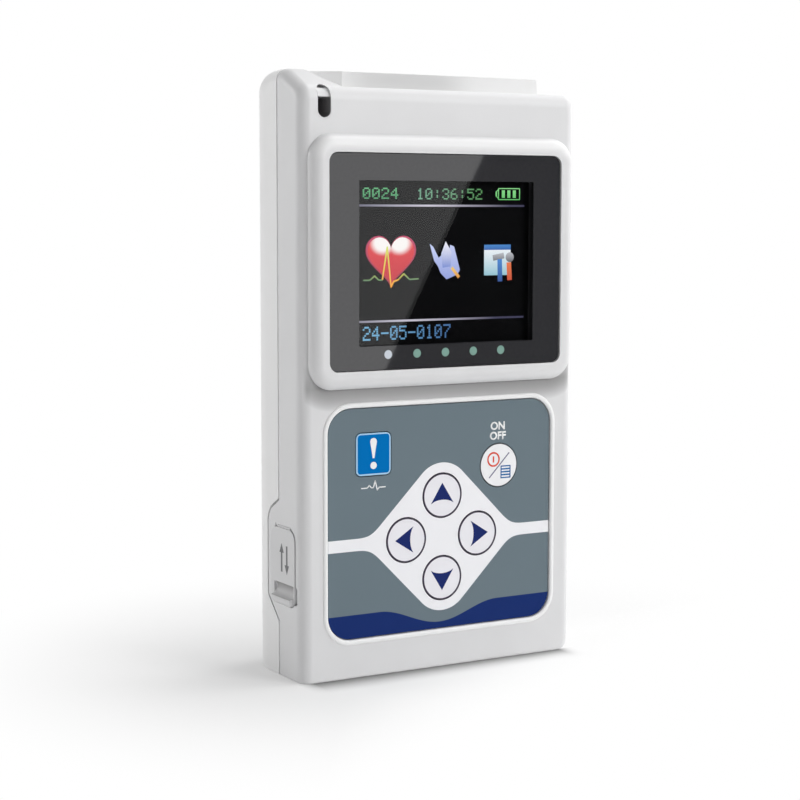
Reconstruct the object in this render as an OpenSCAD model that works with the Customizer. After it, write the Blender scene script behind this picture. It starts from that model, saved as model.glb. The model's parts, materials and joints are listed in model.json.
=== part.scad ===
/* [Case] */
// Width of the case, side to side
body_w = 55; // [52:0.5:66]
// Height of the case, base to the top of its raised rear wall
body_h = 103.05; // [100:0.05:105.5]
// Depth of the case, front face to back face
case_depth = 22.6; // [22:0.2:28]
// Depth of the parting line behind the front face
seam_depth = 8.1; // [7.9:0.1:9]
// Wall of both shells
wall = 1.8; // [1.5:0.1:2.2]
// Rounding of the front's side edges and of the hump
edge_r = 2.1; // [1.6:0.1:2.4]
// Radius of the upright rear edges
rear_edge_r = 10; // [8:0.5:11]
// Rounding of the rim round the base
base_roll = 0.5; // [0.3:0.1:0.8]
// Rounding of the top's rear left corner
top_roll = 4; // [3:0.5:5]
// Radius of the lower right corner, seen from the front
foot_r = 3.4; // [2.6:0.1:4]
// Radius of the brow, where the front face turns into the top
brow_r = 3.2; // [2.8:0.1:3.6]
// Drop from the raised rear wall to the middle of the brow's curve
brow_drop = 5.8; // [5:0.1:6.5]
// Radius of the hump's crown
crown_r = 6; // [5:0.5:7]
// Drop from the raised rear wall to the crown
crown_drop = 0.3; // [0.2:0.1:0.8]
// Width of the shadow line along the parting line
seam_gap = 0.45; // [0.3:0.05:0.6]

/* [Plug recess] */
// Drop from the raised rear wall to the shelf that the cable plug stands on
shelf_drop = 3.45; // [2.5:0.05:4]
// Depth of the raised rear wall's face behind the front face
rear_wall_depth = 12.3; // [11.5:0.1:13]
// Radius of the recess's closed left end
recess_end_r = 10.8; // [10:0.1:11.2]
// Distance from the case's left side to the centre of that round end
recess_end_inset = 15.1; // [14.5:0.1:16]
// Width of the cable socket's cavity
socket_w = 19.6; // [16:0.2:24]
// Depth of the cable socket's cavity, front to back
socket_t = 5.2; // [4.8:0.1:5.4]
// How far the cavity goes down
socket_deep = 9; // [8:0.1:10]
// Contacts in each of the socket's two rows
socket_pins = 8; // [6:1:10]

/* [Screen] */
// Width of the dark window
window_w = 46; // [44:0.5:48]
// Height of the window
window_h = 36; // [34:0.5:37]
// Drop from the case's top to the window's top edge
window_drop = 14.35; // [13.5:0.05:16]
// Thickness of the window
window_t = 1.5; // [1:0.1:1.6]
// How far the surround stands proud of the front face
surround_rise = 2; // [1.8:0.1:2.2]
// Width of the surround beside the window
surround_side = 3.15; // [2.6:0.05:3.2]
// Width of the lit part of the display
active_w = 33.6; // [30:0.1:34]
// Height of the lit part of the display
active_h = 26.9; // [24:0.1:27.5]
// Distance between the status lights
light_pitch = 5.65; // [5:0.05:6.5]
// Diameter of each status light
light_d = 1.5; // [1.2:0.1:1.8]

/* [Keypad] */
// Margin from the case's side to the keypad overlay
pad_side = 5.1; // [4.6:0.1:6]
// Height of the overlay's lower edge above the base
pad_base = 6.9; // [6:0.05:8]
// Height of the overlay
pad_h = 39.2; // [38:0.1:40]
// Corner radius of the overlay
pad_r = 4.2; // [3:0.1:5]
// Thickness of the overlay
overlay_t = 0.5; // [0.4:0.05:0.6]
// Diameter of the round keys
key_d = 7.5; // [6.5:0.1:8]
// Distance from the cluster's centre to each arrow key
key_spread = 7.24; // [6.9:0.02:7.6]
// Height of the cluster's centre above the base
cluster_z = 22.95; // [22:0.05:24]
// Running gap round each key
key_gap = 0.2; // [0.15:0.05:0.3]
// Travel of a key
key_travel = 0.35; // [0.25:0.05:0.4]
// Width of the square marking key
mark_w = 6.7; // [6:0.1:7.4]
// Height of the marking key
mark_h = 7.2; // [6.4:0.1:8]

/* [Side port] */
// Height of the port cover's centre above the base
port_z = 19.2; // [18:0.05:21]
// Depth of the port cover's front edge behind the front face
cover_front = 2.3; // [2.2:0.1:2.6]
// Width of the cover, front to back
cover_w = 8.6; // [8:0.1:8.8]
// Height of the cover
cover_h = 13.1; // [12:0.1:14]
// Thickness of the cover
cover_t = 1.2; // [1:0.05:1.3]
// How far the cover stands proud of the side
cover_proud = 0.2; // [0:0.05:0.3]
// Gap round the cover
cover_gap = 0.15; // [0.1:0.05:0.2]
// Diameter of the bead that the cover turns on
bead_d = 0.5; // [0.4:0.05:0.6]

/* [Battery bay] */
// Diameter of a battery cell
cell_d = 14.2; // [13.6:0.1:14.5]
// Length of a cell with its button
cell_len = 50.2; // [44:0.1:50.5]
// Gap between a cell and the bay
cell_gap = 0.25; // [0.15:0.05:0.4]
// Working length of a contact spring
spring_len = 3.4; // [3:0.1:5]
// Height of the bay's lower end above the base
bay_base = 6.4; // [6:0.1:8]
// Thickness of the battery door
door_t = 1.4; // [1.2:0.1:1.6]
// Ledge that the door rests on
door_ledge = 1.2; // [1:0.1:1.6]
// Gap round the door
door_gap = 0.2; // [0.15:0.05:0.3]

/* [Fasteners] */
// Core hole of a case screw
screw_core_d = 1.8; // [1.6:0.1:2]
// Shank diameter of a case screw
screw_d = 2.2; // [2:0.1:2.5]
// Head diameter of a case screw
screw_head_d = 4; // [3.6:0.1:4.4]
// Outer diameter of the screw bosses
boss_d = 5.6; // [5:0.1:6]

/* [Hidden] */
$fn = 72;
blend_fn = 48;
eps = 0.01;
// The case's depth runs along Y, and every depth below is counted from its front face
front_y = -(case_depth + surround_rise) / 2 + surround_rise;
half_w = body_w / 2;
brow_z = body_h - brow_drop;
crown_z = body_h - crown_drop - crown_r;
crown_depth = seam_depth + 0.2;
rear_end_roll = 0.6;
shelf_z = body_h - shelf_drop;
// Screen
window_top = body_h - window_drop;
window_low = window_top - window_h;
window_mid = (window_top + window_low) / 2;
window_r = 1.5;
window_gap = 0.15;
window_sink = 0.3;
gasket_t = surround_rise - window_sink - window_t;
surround_w = window_w + 2 * surround_side;
surround_h = window_h + 2 * surround_side + 0.1;
surround_r = 4.2;
active_mid = window_mid - 0.3;
active_low = active_mid - active_h / 2;
panel_w = active_w + 2.8;
panel_low = active_low - 0.6;
panel_top = active_low + active_h + 2.8;
panel_t = 1.75;
panel_gap = 0.2;
light_z = panel_low - panel_gap - light_d / 2 - 0.25;
light_count = 5;
// Board
board_front = 4.7;
board_t = 1;
board_back = board_front + board_t;
board_gap = 0.6;
board_low = wall + board_gap;
// Keypad
pad_w = body_w - 2 * pad_side;
pad_top = pad_base + pad_h;
rim_w = 0.7;
overlay_gap = 0.15;
overlay_sink = 0.1;
overlay_floor = overlay_sink + overlay_t;
key_sink = 0.05;
switch_w = 4.6;
switch_t = 1.3;
plunger_t = 0.4;
flange_t = 0.5;
flange_w = 0.75;
flange_d = min(key_d + 2 * flange_w, key_spread * sqrt(2) - 0.3);
stem_d = 2.4;
key_end = board_front - switch_t - plunger_t - key_travel - 0.05;
power_x = 11.65;
power_z = pad_base + 27.8;
mark_x = -13.7;
mark_z = pad_base + 31.35;
mark_r = 0.9;
// Side port
cover_mid = cover_front + cover_w / 2;
cover_top = port_z + cover_h / 2;
cover_low = port_z - cover_h / 2;
cover_r = 1.9;
cover_inner = -half_w - cover_proud + cover_t;
bead_fit = 0.05;
bead_len = cover_w - 2 * cover_r;
hinge_x = -half_w + bead_d / 2;
hinge_z = cover_top + cover_gap;
pull_w = 7;
pull_proud = 0.75;
scoop_r = 1.35;
scoop_up = 2.75;
scoop_deep = 0.45;
usb_w = 7.5;
usb_t = 2.6;
usb_l = 5.6;
usb_mid = board_back + usb_t / 2;
usb_z = port_z + 0.6;
plug_w = 5.8;
plug_t = 1.5;
plug_l = 0.7;
tongue_back = 12.25;
tongue_t = wall + 0.8;
tongue_r = 3.4;
// Battery bay
door_front = case_depth - door_t;
cell_mid = door_front - cell_gap - cell_d / 2;
cell_x = cell_d / 2 + 0.35;
bay_half_w = cell_x + cell_d / 2 + cell_gap + 0.3;
bay_floor = cell_mid - cell_d / 2 - cell_gap;
bay_wall = 1.4;
floor_t = 0.7;
plate_t = 0.4;
bay_top = bay_base + cell_len + spring_len + 2 * plate_t;
door_half_w = bay_half_w + door_ledge;
door_low = bay_base - door_ledge;
door_top = bay_top + door_ledge;
door_roll = 0.9;
door_pin_d = 0.9;
door_pin_l = 1.4;
door_pin_fit = 0.05;
// Fasteners
low_screw = [half_w - 6.9, 3.6 + boss_d / 2 - 0.4];
high_screw = [half_w - 8.6, shelf_z - 6.7];
screw_seat = 14;
screw_len = 9.6;
screw_head_t = 1.4;
board_screw = [half_w - 5.5, 49.4];
board_boss_d = 4;
// Cable socket
socket_wall = 1.1;
socket_top = shelf_z - 0.4;
socket_low = socket_top - socket_deep - 1.4;
pin_pitch = 2;
pin_rows = 2.2;
pin_d = 0.7;
pin_h = 3.6;
socket_mid = board_back + pin_d / 2 + pin_rows / 2;

// Places a flat outline, drawn as width by height, from one depth to another
module slab(from, to) {
    translate([0, front_y + to, 0])
        rotate([90, 0, 0])
            linear_extrude(to - from)
                children();
}

// Places a flat outline, drawn as depth by height, from one width to another
module side_slab(from, to) {
    translate([from, front_y, 0])
        rotate([90, 0, 90])
            linear_extrude(to - from)
                children();
}

// Round bar along the depth
module peg(x, z, from, to, d) {
    translate([x, front_y + to, z])
        rotate([90, 0, 0])
            cylinder(h = to - from, d = d);
}

// Box given by its low and high corners as width, depth and height
module block(low, high) {
    translate([low[0], front_y + low[1], low[2]])
        cube(high - low);
}

// Rounded rectangle about a centre
module panel(w, h, r, x = 0, z = 0) {
    translate([x, z]) {
        square([w - 2 * r, h], center = true);
        square([w, h - 2 * r], center = true);
        for (sx = [-1, 1], sz = [-1, 1])
            translate([sx * (w / 2 - r), sz * (h / 2 - r)])
                circle(r = r);
    }
}

// Disc with one rolled rim: the rolled face lies at height 0 and faces down
module rolled_disc(r, h, roll) {
    rotate_extrude($fn = blend_fn)
        intersection() {
            union() {
                square([r - roll, h]);
                translate([0, roll])
                    square([r, h - roll]);
                translate([r - roll, roll])
                    circle(r = roll, $fn = blend_fn);
            }
            square([r, h]);
        }
}

// The closed outline of both shells together
module case_form() {
    difference() {
        hull()
            for (side = [-1, 1]) {
                // Front edge, brow and crown
                translate([side * (half_w - edge_r), front_y + edge_r, 0])
                    rolled_disc(edge_r, brow_z, base_roll);
                translate([side * half_w, front_y + brow_r, brow_z])
                    rotate([0, -side * 90, 0])
                        rolled_disc(brow_r, half_w / 2, edge_r);
                translate([side * half_w, front_y + crown_depth, crown_z])
                    rotate([0, -side * 90, 0])
                        rolled_disc(crown_r, half_w / 2, edge_r);
                // Upright rear edge
                intersection() {
                    translate([side * (half_w - rear_edge_r), front_y + case_depth - rear_edge_r, 0])
                        rear_column(side < 0 ? top_roll : rear_end_roll);
                    block([-body_w, case_depth - rear_edge_r, -1], [body_w, case_depth + 1, body_h + 1]);
                }
            }
        // Rounded lower right corner
        slab(-1, case_depth + 1)
            translate([half_w - foot_r, foot_r])
                difference() {
                    translate([0, -foot_r - 1])
                        square([foot_r + 1, foot_r + 1]);
                    circle(r = foot_r);
                }
    }
}

// Upright rear edge with its rolled ends
module rear_column(roll) {
    rolled_disc(rear_edge_r, body_h / 2, base_roll);
    translate([0, 0, body_h])
        mirror([0, 0, 1])
            rolled_disc(rear_edge_r, body_h / 2, roll);
}

// Recess in the top for the cable plug: open in front and on the right, round at its left end
module recess_plan() {
    end_x = -half_w + recess_end_inset;
    end_depth = 9.5;
    mouth_depth = 1;
    facet_x = end_x - 8;
    facet_depth = end_depth + sqrt(recess_end_r * recess_end_r - 64);
    mouth = sqrt(recess_end_r * recess_end_r - (end_depth - mouth_depth) * (end_depth - mouth_depth));
    difference() {
        union() {
            translate([end_x, end_depth])
                circle(r = recess_end_r);
            translate([end_x - mouth, -3])
                square([2 * body_w, rear_wall_depth + 3]);
        }
        polygon([
            [facet_x, facet_depth],
            [end_x - 0.6, rear_wall_depth],
            [2 * body_w, rear_wall_depth],
            [2 * body_w, 2 * case_depth],
            [facet_x, 2 * case_depth]
        ]);
        // Below the mouth the round end has no part
        translate([end_x - 2 * recess_end_r, -3])
            square([2 * recess_end_r - mouth, mouth_depth + 3]);
    }
}

module plug_recess() {
    translate([0, front_y, shelf_z])
        linear_extrude(body_h)
            recess_plan();
}

// Opening for the cable socket, cut in both shells
module socket_hole() {
    gap = 0.15;
    w = socket_w + 2 * socket_wall + 2 * gap;
    t = socket_t + 2 * socket_wall + 2 * gap;
    block([-w / 2, socket_mid - t / 2, socket_low - 1], [w / 2, socket_mid + t / 2, shelf_z + 1]);
}

// Points of an arc, for outlines with eased corners
function arc(c, r, a0, a1, n = 8) =
    [for (i = [0 : n]) let (a = a0 + (a1 - a0) * i / n) c + r * [cos(a), sin(a)]];

// Side tongue of the front shell, which carries the port cover: an outline of depth and height
module tongue_outline(grow = 0) {
    r = tongue_r + grow;
    back = tongue_back - tongue_r;
    top = cover_top + 0.3;
    low = cover_low + 1.5;
    polygon(concat(
        [[seam_depth - 1, top + r * 1.15 + (back - seam_depth) * 0.58]],
        [[seam_depth, top + r * 1.15 + (back - seam_depth) * 0.58]],
        arc([back, top], r, 60, 0),
        arc([back + tongue_r - 1, low], 1 + grow, 0, -45, 4),
        [[seam_depth, low - (back + tongue_r - 1 - seam_depth) - (1 + grow) * 1.414]],
        [[seam_depth - 1, low - (back + tongue_r - 1 - seam_depth) - (1 + grow) * 1.414]]
    ));
}

module tongue_volume(grow = 0) {
    side_slab(-half_w - 1, -half_w + tongue_t + grow)
        tongue_outline(grow);
}

// Hollow of the front shell
module front_hollow() {
    difference() {
        slab(wall, seam_depth + 1)
            translate([0, shelf_z / 2])
                panel(body_w - 2 * wall, shelf_z - 2 * wall, 1.5);
        // Solid corner round the lanyard loop
        block([-half_w, 0, loop_low - 3.5], [-half_w + 9.5, seam_depth + 2, body_h]);
    }
}

// Lanyard loop in the top left corner: the cord goes in below a small bar and comes out above it
loop_w = 2.45;
loop_x = -half_w + 4.55;
loop_low = shelf_z - 5.15;
loop_high = shelf_z + 0.3;
loop_bar = shelf_z - 1.75;
module lanyard_loop() {
    slab(-1, 3.4)
        loop_slot(loop_low, loop_high);
    // Deeper behind the mouth
    slab(0, seam_depth - 1)
        loop_slot(loop_low, loop_bar + 0.6);
}

// The bar, set back a little from the brow and free at its left end
module loop_bar_form() {
    depth = 0.4;
    gap = 0.3;
    intersection() {
        slab(depth, 2.2)
            translate([loop_x - loop_w / 2 + gap, loop_bar])
                square([loop_w - gap + eps, loop_high - 0.6 - loop_bar]);
        translate([loop_x, front_y + brow_r, brow_z])
            rotate([0, 90, 0])
                cylinder(h = loop_w + 2 * eps, r = brow_r - depth, center = true);
    }
    slab(1.2, 2.2)
        translate([loop_x - loop_w / 2 - eps, loop_bar])
            square([loop_w, loop_high - 1.1 - loop_bar]);
}

// Upright slot with round ends, drawn with exact arcs
module loop_slot(low, high) {
    r = loop_w / 2;
    translate([loop_x - r, low + r])
        square([loop_w, high - low - 2 * r]);
    translate([loop_x, low + r])
        circle(r = r);
    translate([loop_x, high - r])
        circle(r = r);
}

// Raised surround of the screen
module surround() {
    hull() {
        for (sx = [-1, 1], sz = [-1, 1])
            translate([
                sx * (surround_w / 2 - surround_r),
                front_y - surround_rise,
                window_mid + sz * (surround_h / 2 - surround_r)
            ])
                rotate([-90, 0, 0])
                    rolled_disc(surround_r, surround_rise + wall / 2, surround_rise);
    }
}

module screen_cuts() {
    // Seat of the window
    slab(-surround_rise - 1, 0)
        panel(window_w + 2 * window_gap, window_h + 2 * window_gap, window_r + window_gap, 0, window_mid);
    // Aperture of the display
    slab(-1, wall + 1)
        translate([-(panel_w / 2 + panel_gap), panel_low - panel_gap])
            square([panel_w + 2 * panel_gap, panel_top - panel_low + 2 * panel_gap]);
    // Light pipes
    for (i = [0 : light_count - 1])
        peg(light_x(i), light_z, -1, wall + 1, light_d + 0.3);
}

function light_x(i) = (i - (light_count - 1) / 2) * light_pitch - 0.1;

// Places of the round keys as x and z
function arrow_keys() = [
    [0, cluster_z + key_spread],
    [0, cluster_z - key_spread],
    [-key_spread, cluster_z],
    [key_spread, cluster_z]
];
function round_keys() = concat(arrow_keys(), [[power_x, power_z]]);

// Outline of every key hole
module key_holes() {
    for (k = round_keys())
        translate(k)
            circle(d = key_d + 2 * key_gap);
    panel(mark_w + 2 * key_gap, mark_h + 2 * key_gap, mark_r + key_gap, mark_x, mark_z);
}

// Outline of the overlay, grown evenly
module pad_outline(grow = 0) {
    panel(pad_w + 2 * grow, pad_h + 2 * grow, pad_r + grow, 0, pad_base + pad_h / 2);
}

// Seat of the overlay with its sloping rim
module keypad_cuts() {
    rim_foot = overlay_gap + 0.05;
    slab(-1, overlay_floor)
        pad_outline(overlay_gap);
    hull() {
        slab(-0.02, 0)
            pad_outline(rim_w, $fn = blend_fn);
        slab(overlay_floor - 0.12, overlay_floor - 0.1)
            pad_outline(rim_foot, $fn = blend_fn);
    }
    slab(-1, wall + 1)
        key_holes();
}

// Outline of the port cover as depth and height
module cover_outline(grow = 0) {
    panel(cover_w + 2 * grow, cover_h + 2 * grow, cover_r + grow, cover_mid, port_z);
}

// Pocket of the port cover, the groove its bead turns in and the port's mouth
module port_cuts() {
    relief = 0.12;
    mouth_gap = 0.3;
    side_slab(-half_w - 2, cover_inner + cover_gap)
        cover_outline(cover_gap);
    hinge_bar(bead_len + 0.2, bead_d + 2 * bead_fit);
    block([-half_w - 1, cover_mid - bead_len / 2 - 0.6, cover_top - 1],
        [-half_w + relief, cover_mid + bead_len / 2 + 0.6, hinge_z + 0.5]);
    // Relief for a fingernail beside the lip
    side_slab(-half_w - 1, -half_w + cover_t / 2)
        panel(1.2, scoop_up + 0.4, 0.5, cover_front, cover_low + scoop_up / 2 + 0.7);
    port_bar(-half_w - 2, -half_w + tongue_t + 1, usb_t + 2 * mouth_gap, usb_w + 2 * mouth_gap);
}

// Round bar along the hinge's axis, about the cover's middle
module hinge_bar(length, d) {
    translate([hinge_x, front_y + cover_mid, hinge_z])
        rotate([-90, 0, 0])
            cylinder(h = length, d = d, center = true);
}

module front_case() {
    color([0.9, 0.9, 0.9])
        difference() {
            union() {
                difference() {
                    union() {
                        intersection() {
                            case_form();
                            union() {
                                block([-body_w, -1, -1], [body_w, seam_depth, body_h + 1]);
                                tongue_volume();
                            }
                        }
                        surround();
                    }
                    front_hollow();
                    plug_recess();
                    lanyard_loop();
                }
                loop_bar_form();
                front_inside();
            }
            screen_cuts();
            keypad_cuts();
            port_cuts();
            socket_hole();
            for (sx = [-1, 1], s = [low_screw, high_screw])
                peg(sx * s[0], s[1], wall + 0.6, seam_depth + 1, screw_core_d);
            for (sx = [-1, 1])
                peg(sx * board_screw[0], board_screw[1], wall, board_front + 1, 1.2);
        }
}

// Bosses and ribs behind the front face
module front_inside() {
    for (sx = [-1, 1]) {
        for (s = [low_screw, high_screw])
            peg(sx * s[0], s[1], wall - eps, seam_depth, boss_d);
        peg(sx * board_screw[0], board_screw[1], wall - eps, board_front, board_boss_d);
        // Web that ties each board boss to the side wall
        block([min(sx * board_screw[0], sx * (half_w - 1)), wall - eps, board_screw[1] - 0.5],
            [max(sx * board_screw[0], sx * (half_w - 1)), board_front - 0.2, board_screw[1] + 0.5]);
    }
    // Rib between the screen and the keypad
    block([-half_w + 1, wall - eps, pad_top + 1.1], [half_w - 1, board_front - 1.2, pad_top + 2.1]);
    // Thicker wall that the port cover's pocket is sunk in
    block([-half_w + 1, cover_front - 1.4, cover_low - 1.3],
        [-half_w + wall + 0.5, seam_depth, cover_top + 1.3]);
}

// Shell behind the parting line
module rear_case() {
    color([0.92, 0.92, 0.92])
        difference() {
            union() {
                difference() {
                    intersection() {
                        case_form();
                        block([-body_w, seam_depth, -1], [body_w, case_depth + 1, body_h + 1]);
                    }
                    rear_hollow();
                    plug_recess();
                }
                rear_inside();
            }
            seam_groove();
            tongue_volume(seam_gap);
            socket_hole();
            bay_cuts();
            for (sx = [-1, 1], s = [low_screw, high_screw]) {
                peg(sx * s[0], s[1], seam_depth - 1, case_depth + 1, screw_d + 0.3);
                peg(sx * s[0], s[1], screw_seat, case_depth + 1, screw_head_d + 0.5);
            }
        }
}

// Plan of the rear shell's hollow, with rounded rear corners
module rear_hollow_plan(inset) {
    r = rear_edge_r - inset;
    translate([-half_w + inset, seam_depth - 1])
        square([body_w - 2 * inset, case_depth - rear_edge_r - seam_depth + 1]);
    translate([-half_w + rear_edge_r, seam_depth])
        square([body_w - 2 * rear_edge_r, case_depth - inset - seam_depth]);
    for (sx = [-1, 1])
        translate([sx * (half_w - rear_edge_r), case_depth - rear_edge_r])
            circle(r = r);
}

module rear_hollow() {
    translate([0, front_y, wall])
        linear_extrude(shelf_z - 2 * wall)
            intersection() {
                rear_hollow_plan(wall);
                translate([-half_w, seam_depth - 1])
                    square([body_w, case_depth]);
            }
    // Hollow of the raised wall
    block([-half_w + rear_edge_r, rear_wall_depth + wall + 2, shelf_z - 2 * wall],
        [half_w - rear_edge_r, case_depth - wall, body_h - wall]);
}

// Shadow line where the shells meet
module seam_groove() {
    depth = 0.5;
    difference() {
        block([-body_w, seam_depth - 1, -1], [body_w, seam_depth + seam_gap, body_h + 1]);
        slab(seam_depth - 2, seam_depth + 2)
            difference() {
                translate([0, (body_h - crown_drop) / 2])
                    panel(body_w - 2 * depth, body_h - crown_drop - 2 * depth, edge_r - depth);
                // Over the recess the groove follows the shelf
                translate([-half_w + recess_end_inset - recess_end_r, shelf_z - depth])
                    square([body_w, body_h]);
                // At the lower right it follows the rounded corner
                translate([half_w - foot_r, foot_r])
                    difference() {
                        translate([0, -foot_r - 1])
                            square([foot_r + 1, foot_r + 1]);
                        circle(r = foot_r - depth);
                    }
            }
    }
}

// Bay walls, cradle and screw bosses inside the rear shell
module rear_inside() {
    block([-bay_half_w - bay_wall, bay_floor - floor_t, bay_base - bay_wall],
        [bay_half_w + bay_wall, case_depth - wall + eps, bay_top + bay_wall]);
    for (sx = [-1, 1], s = [low_screw, high_screw])
        peg(sx * s[0], s[1], seam_depth, case_depth - wall, boss_d + 0.8);
    // Ribs across the upper back
    rib_half = half_w - rear_edge_r + 2;
    for (z = [bay_top + 8, bay_top + 16])
        block([-rib_half, case_depth - wall - 1.2, z], [rib_half, case_depth - wall + eps, z + 1.2]);
}

module bay_cuts() {
    seat_half_w = door_half_w + door_gap;
    // Cells lie in two troughs
    for (sx = [-1, 1])
        translate([sx * cell_x, front_y + cell_mid, bay_base])
            cylinder(h = bay_top - bay_base, d = cell_d + 2 * cell_gap);
    block([-bay_half_w, cell_mid, bay_base], [bay_half_w, case_depth + 1, bay_top]);
    for (z = [bay_base, bay_top - 2.4])
        block([-bay_half_w, bay_floor + 2.2, z], [bay_half_w, cell_mid + 1, z + 2.4]);
    // Seat of the door: rounded corners at the latch, square ones at the hinge
    slab(door_front, case_depth + 1) {
        panel(2 * seat_half_w, door_top - door_low + 2 * door_gap, 1.4, 0, (door_top + door_low) / 2);
        translate([-seat_half_w, door_low - door_gap])
            square([2 * seat_half_w, 3]);
    }
    // Round seat of the door's rolled edge, and the bores of its two pins
    door_bar(2 * seat_half_w, 2 * (door_roll + door_pin_fit));
    door_bar(2 * (door_half_w + door_pin_l + 0.1), door_pin_d + 2 * door_pin_fit);
    fingernail_notch();
}

// Round bar along the battery door's hinge
module door_bar(length, d) {
    translate([0, front_y + case_depth - door_roll, door_low + door_roll])
        rotate([0, 90, 0])
            cylinder(h = length, d = d, center = true);
}

// Hollow over the latch, shared by the case and the door
module fingernail_notch() {
    translate([0, front_y + case_depth + 2.2, door_top])
        rotate([0, 90, 0])
            cylinder(h = 10, r = 3.2, center = true);
}

// Battery door: it swings on two pins at its lower edge
module battery_door() {
    corner = 1.2;
    slit_x = 5.4;
    low = door_low + door_roll;
    color([0.91, 0.91, 0.91]) {
        difference() {
            union() {
                slab(door_front, case_depth) {
                    panel(2 * door_half_w, door_top - low, corner, 0, (door_top + low) / 2);
                    translate([-door_half_w, low])
                        square([2 * door_half_w, 2 * corner]);
                }
                door_bar(2 * door_half_w, 2 * door_roll);
            }
            // Thumb scoop
            translate([0, front_y + case_depth + 11.2, door_top - 9])
                rotate([0, 90, 0])
                    cylinder(h = 16, r = 12, center = true);
            // Slits that free the latch tongue
            for (sx = [-1, 1])
                block([sx * slit_x - 0.4, door_front - 1, door_top - 3.6],
                    [sx * slit_x + 0.4, case_depth + 1, door_top + 1]);
            fingernail_notch();
        }
        door_bar(2 * (door_half_w + door_pin_l), door_pin_d);
        // Grip ribs in the scoop
        for (i = [-2 : 2])
            translate([0, front_y + case_depth - 0.75, door_top - 9 + i * 1.5])
                rotate([0, 90, 0])
                    cylinder(h = 9 - abs(i), r = 0.4, center = true);
        // Rib between the cells
        block([-0.3, door_front - 1.5, bay_base + 6], [0.3, door_front + eps, bay_top - 10]);
    }
}

module display_window() {
    color([0.16, 0.17, 0.18, 0.8])
        slab(-surround_rise + window_sink, -gasket_t)
            panel(window_w, window_h, window_r, 0, window_mid);
}

module window_gasket() {
    color([0.08, 0.08, 0.08])
        slab(-gasket_t, 0)
            difference() {
                panel(window_w - 0.6, window_h - 0.6, window_r, 0, window_mid);
                translate([-(panel_w / 2 + panel_gap), panel_low - panel_gap])
                    square([panel_w + 2 * panel_gap, panel_top - panel_low + 2 * panel_gap]);
                for (i = [0 : light_count - 1])
                    translate([light_x(i), light_z])
                        circle(d = light_d + 0.3);
            }
}

module display_module() {
    color([0.02, 0.02, 0.03]) {
        // Rear glass with the driver ledge
        slab(0.75, panel_t)
            translate([-panel_w / 2, panel_low])
                square([panel_w, panel_top - panel_low]);
        // Front glass and polariser over the lit part
        slab(0, 0.75 + eps)
            translate([-panel_w / 2, panel_low])
                square([panel_w, active_h + 1.2]);
        slab(0.45, 0.75 + eps)
            translate([-6, panel_low + active_h + 1.6])
                square([12, 1]);
    }
}

module display_carrier() {
    w = panel_w + 3;
    rim = 1.2;
    low = panel_low + 1.2;
    high = panel_top - 0.9;
    front = max(wall, panel_t) + 0.05;
    plate = front + 0.85;
    color([0.85, 0.85, 0.82])
        difference() {
            union() {
                slab(front, board_front)
                    translate([-w / 2, low])
                        square([w, high - low]);
                // Pad that reaches into the aperture, up to the panel
                slab(panel_t + 0.1, plate)
                    translate([-panel_w / 2 + 1, low + rim])
                        square([panel_w - 2, high - low - 2 * rim]);
            }
            // Hollow behind the plate, open towards the board
            slab(plate, board_front + 1)
                translate([-w / 2 + rim, low + rim])
                    square([w - 2 * rim, high - low - 2 * rim]);
            for (sx = [-1, 1])
                peg(sx * 9, (low + high) / 2, 0, board_front, 7);
        }
}

module display_ribbon() {
    t = 0.15;
    top = panel_top - 0.1;
    lift = 1.2;
    color([0.75, 0.5, 0.15])
        side_slab(-5.5, 5.5)
            // From the back of the panel over the carrier and on to the board
            polygon([
                [panel_t, top - 0.8],
                [panel_t, top],
                [board_front - t, top + lift],
                [board_front - t, top + lift + 0.7],
                [board_front, top + lift + 0.7],
                [board_front, top + lift - t],
                [panel_t + t, top - t],
                [panel_t + t, top - 0.8]
            ]);
}

module indicator_pipes() {
    color([0.75, 0.85, 0.8])
        for (i = [0 : light_count - 1])
            peg(light_x(i), light_z, -gasket_t, board_front - 1.1, light_d);
}

module indicator_leds() {
    color([0.9, 0.95, 0.9])
        for (i = [0 : light_count - 1])
            slab(board_front - 0.8, board_front)
                translate([light_x(i), light_z])
                    square([1.6, 0.8], center = true);
}

module keypad_overlay() {
    color([0.41, 0.46, 0.49])
        slab(overlay_sink, overlay_floor)
            difference() {
                pad_outline();
                key_holes();
            }
}

// Key cap with its flange and stem, about the place of a round key
module round_key(k) {
    color([0.92, 0.92, 0.94]) {
        peg(k[0], k[1], key_sink, wall + eps, key_d);
        peg(k[0], k[1], wall, wall + flange_t, flange_d);
        peg(k[0], k[1], wall + flange_t - eps, key_end, stem_d);
    }
}

module key_up() round_key(arrow_keys()[0]);
module key_down() round_key(arrow_keys()[1]);
module key_left() round_key(arrow_keys()[2]);
module key_right() round_key(arrow_keys()[3]);
module power_key() round_key([power_x, power_z]);

module mark_key() {
    color([0, 0.43, 0.7]) {
        slab(key_sink, wall + eps)
            panel(mark_w, mark_h, mark_r, mark_x, mark_z);
        slab(wall, wall + flange_t)
            panel(mark_w + 2 * flange_w, mark_h + 2 * flange_w, mark_r, mark_x, mark_z);
        peg(mark_x, mark_z, wall + flange_t - eps, key_end, stem_d);
    }
}

module key_switches() {
    color([0.3, 0.3, 0.32])
        for (k = concat(round_keys(), [[mark_x, mark_z]])) {
            slab(board_front - switch_t, board_front)
                panel(switch_w, switch_w, 0.5, k[0], k[1]);
            peg(k[0], k[1], board_front - switch_t - plunger_t, board_front - switch_t + eps, 2);
        }
}

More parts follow.
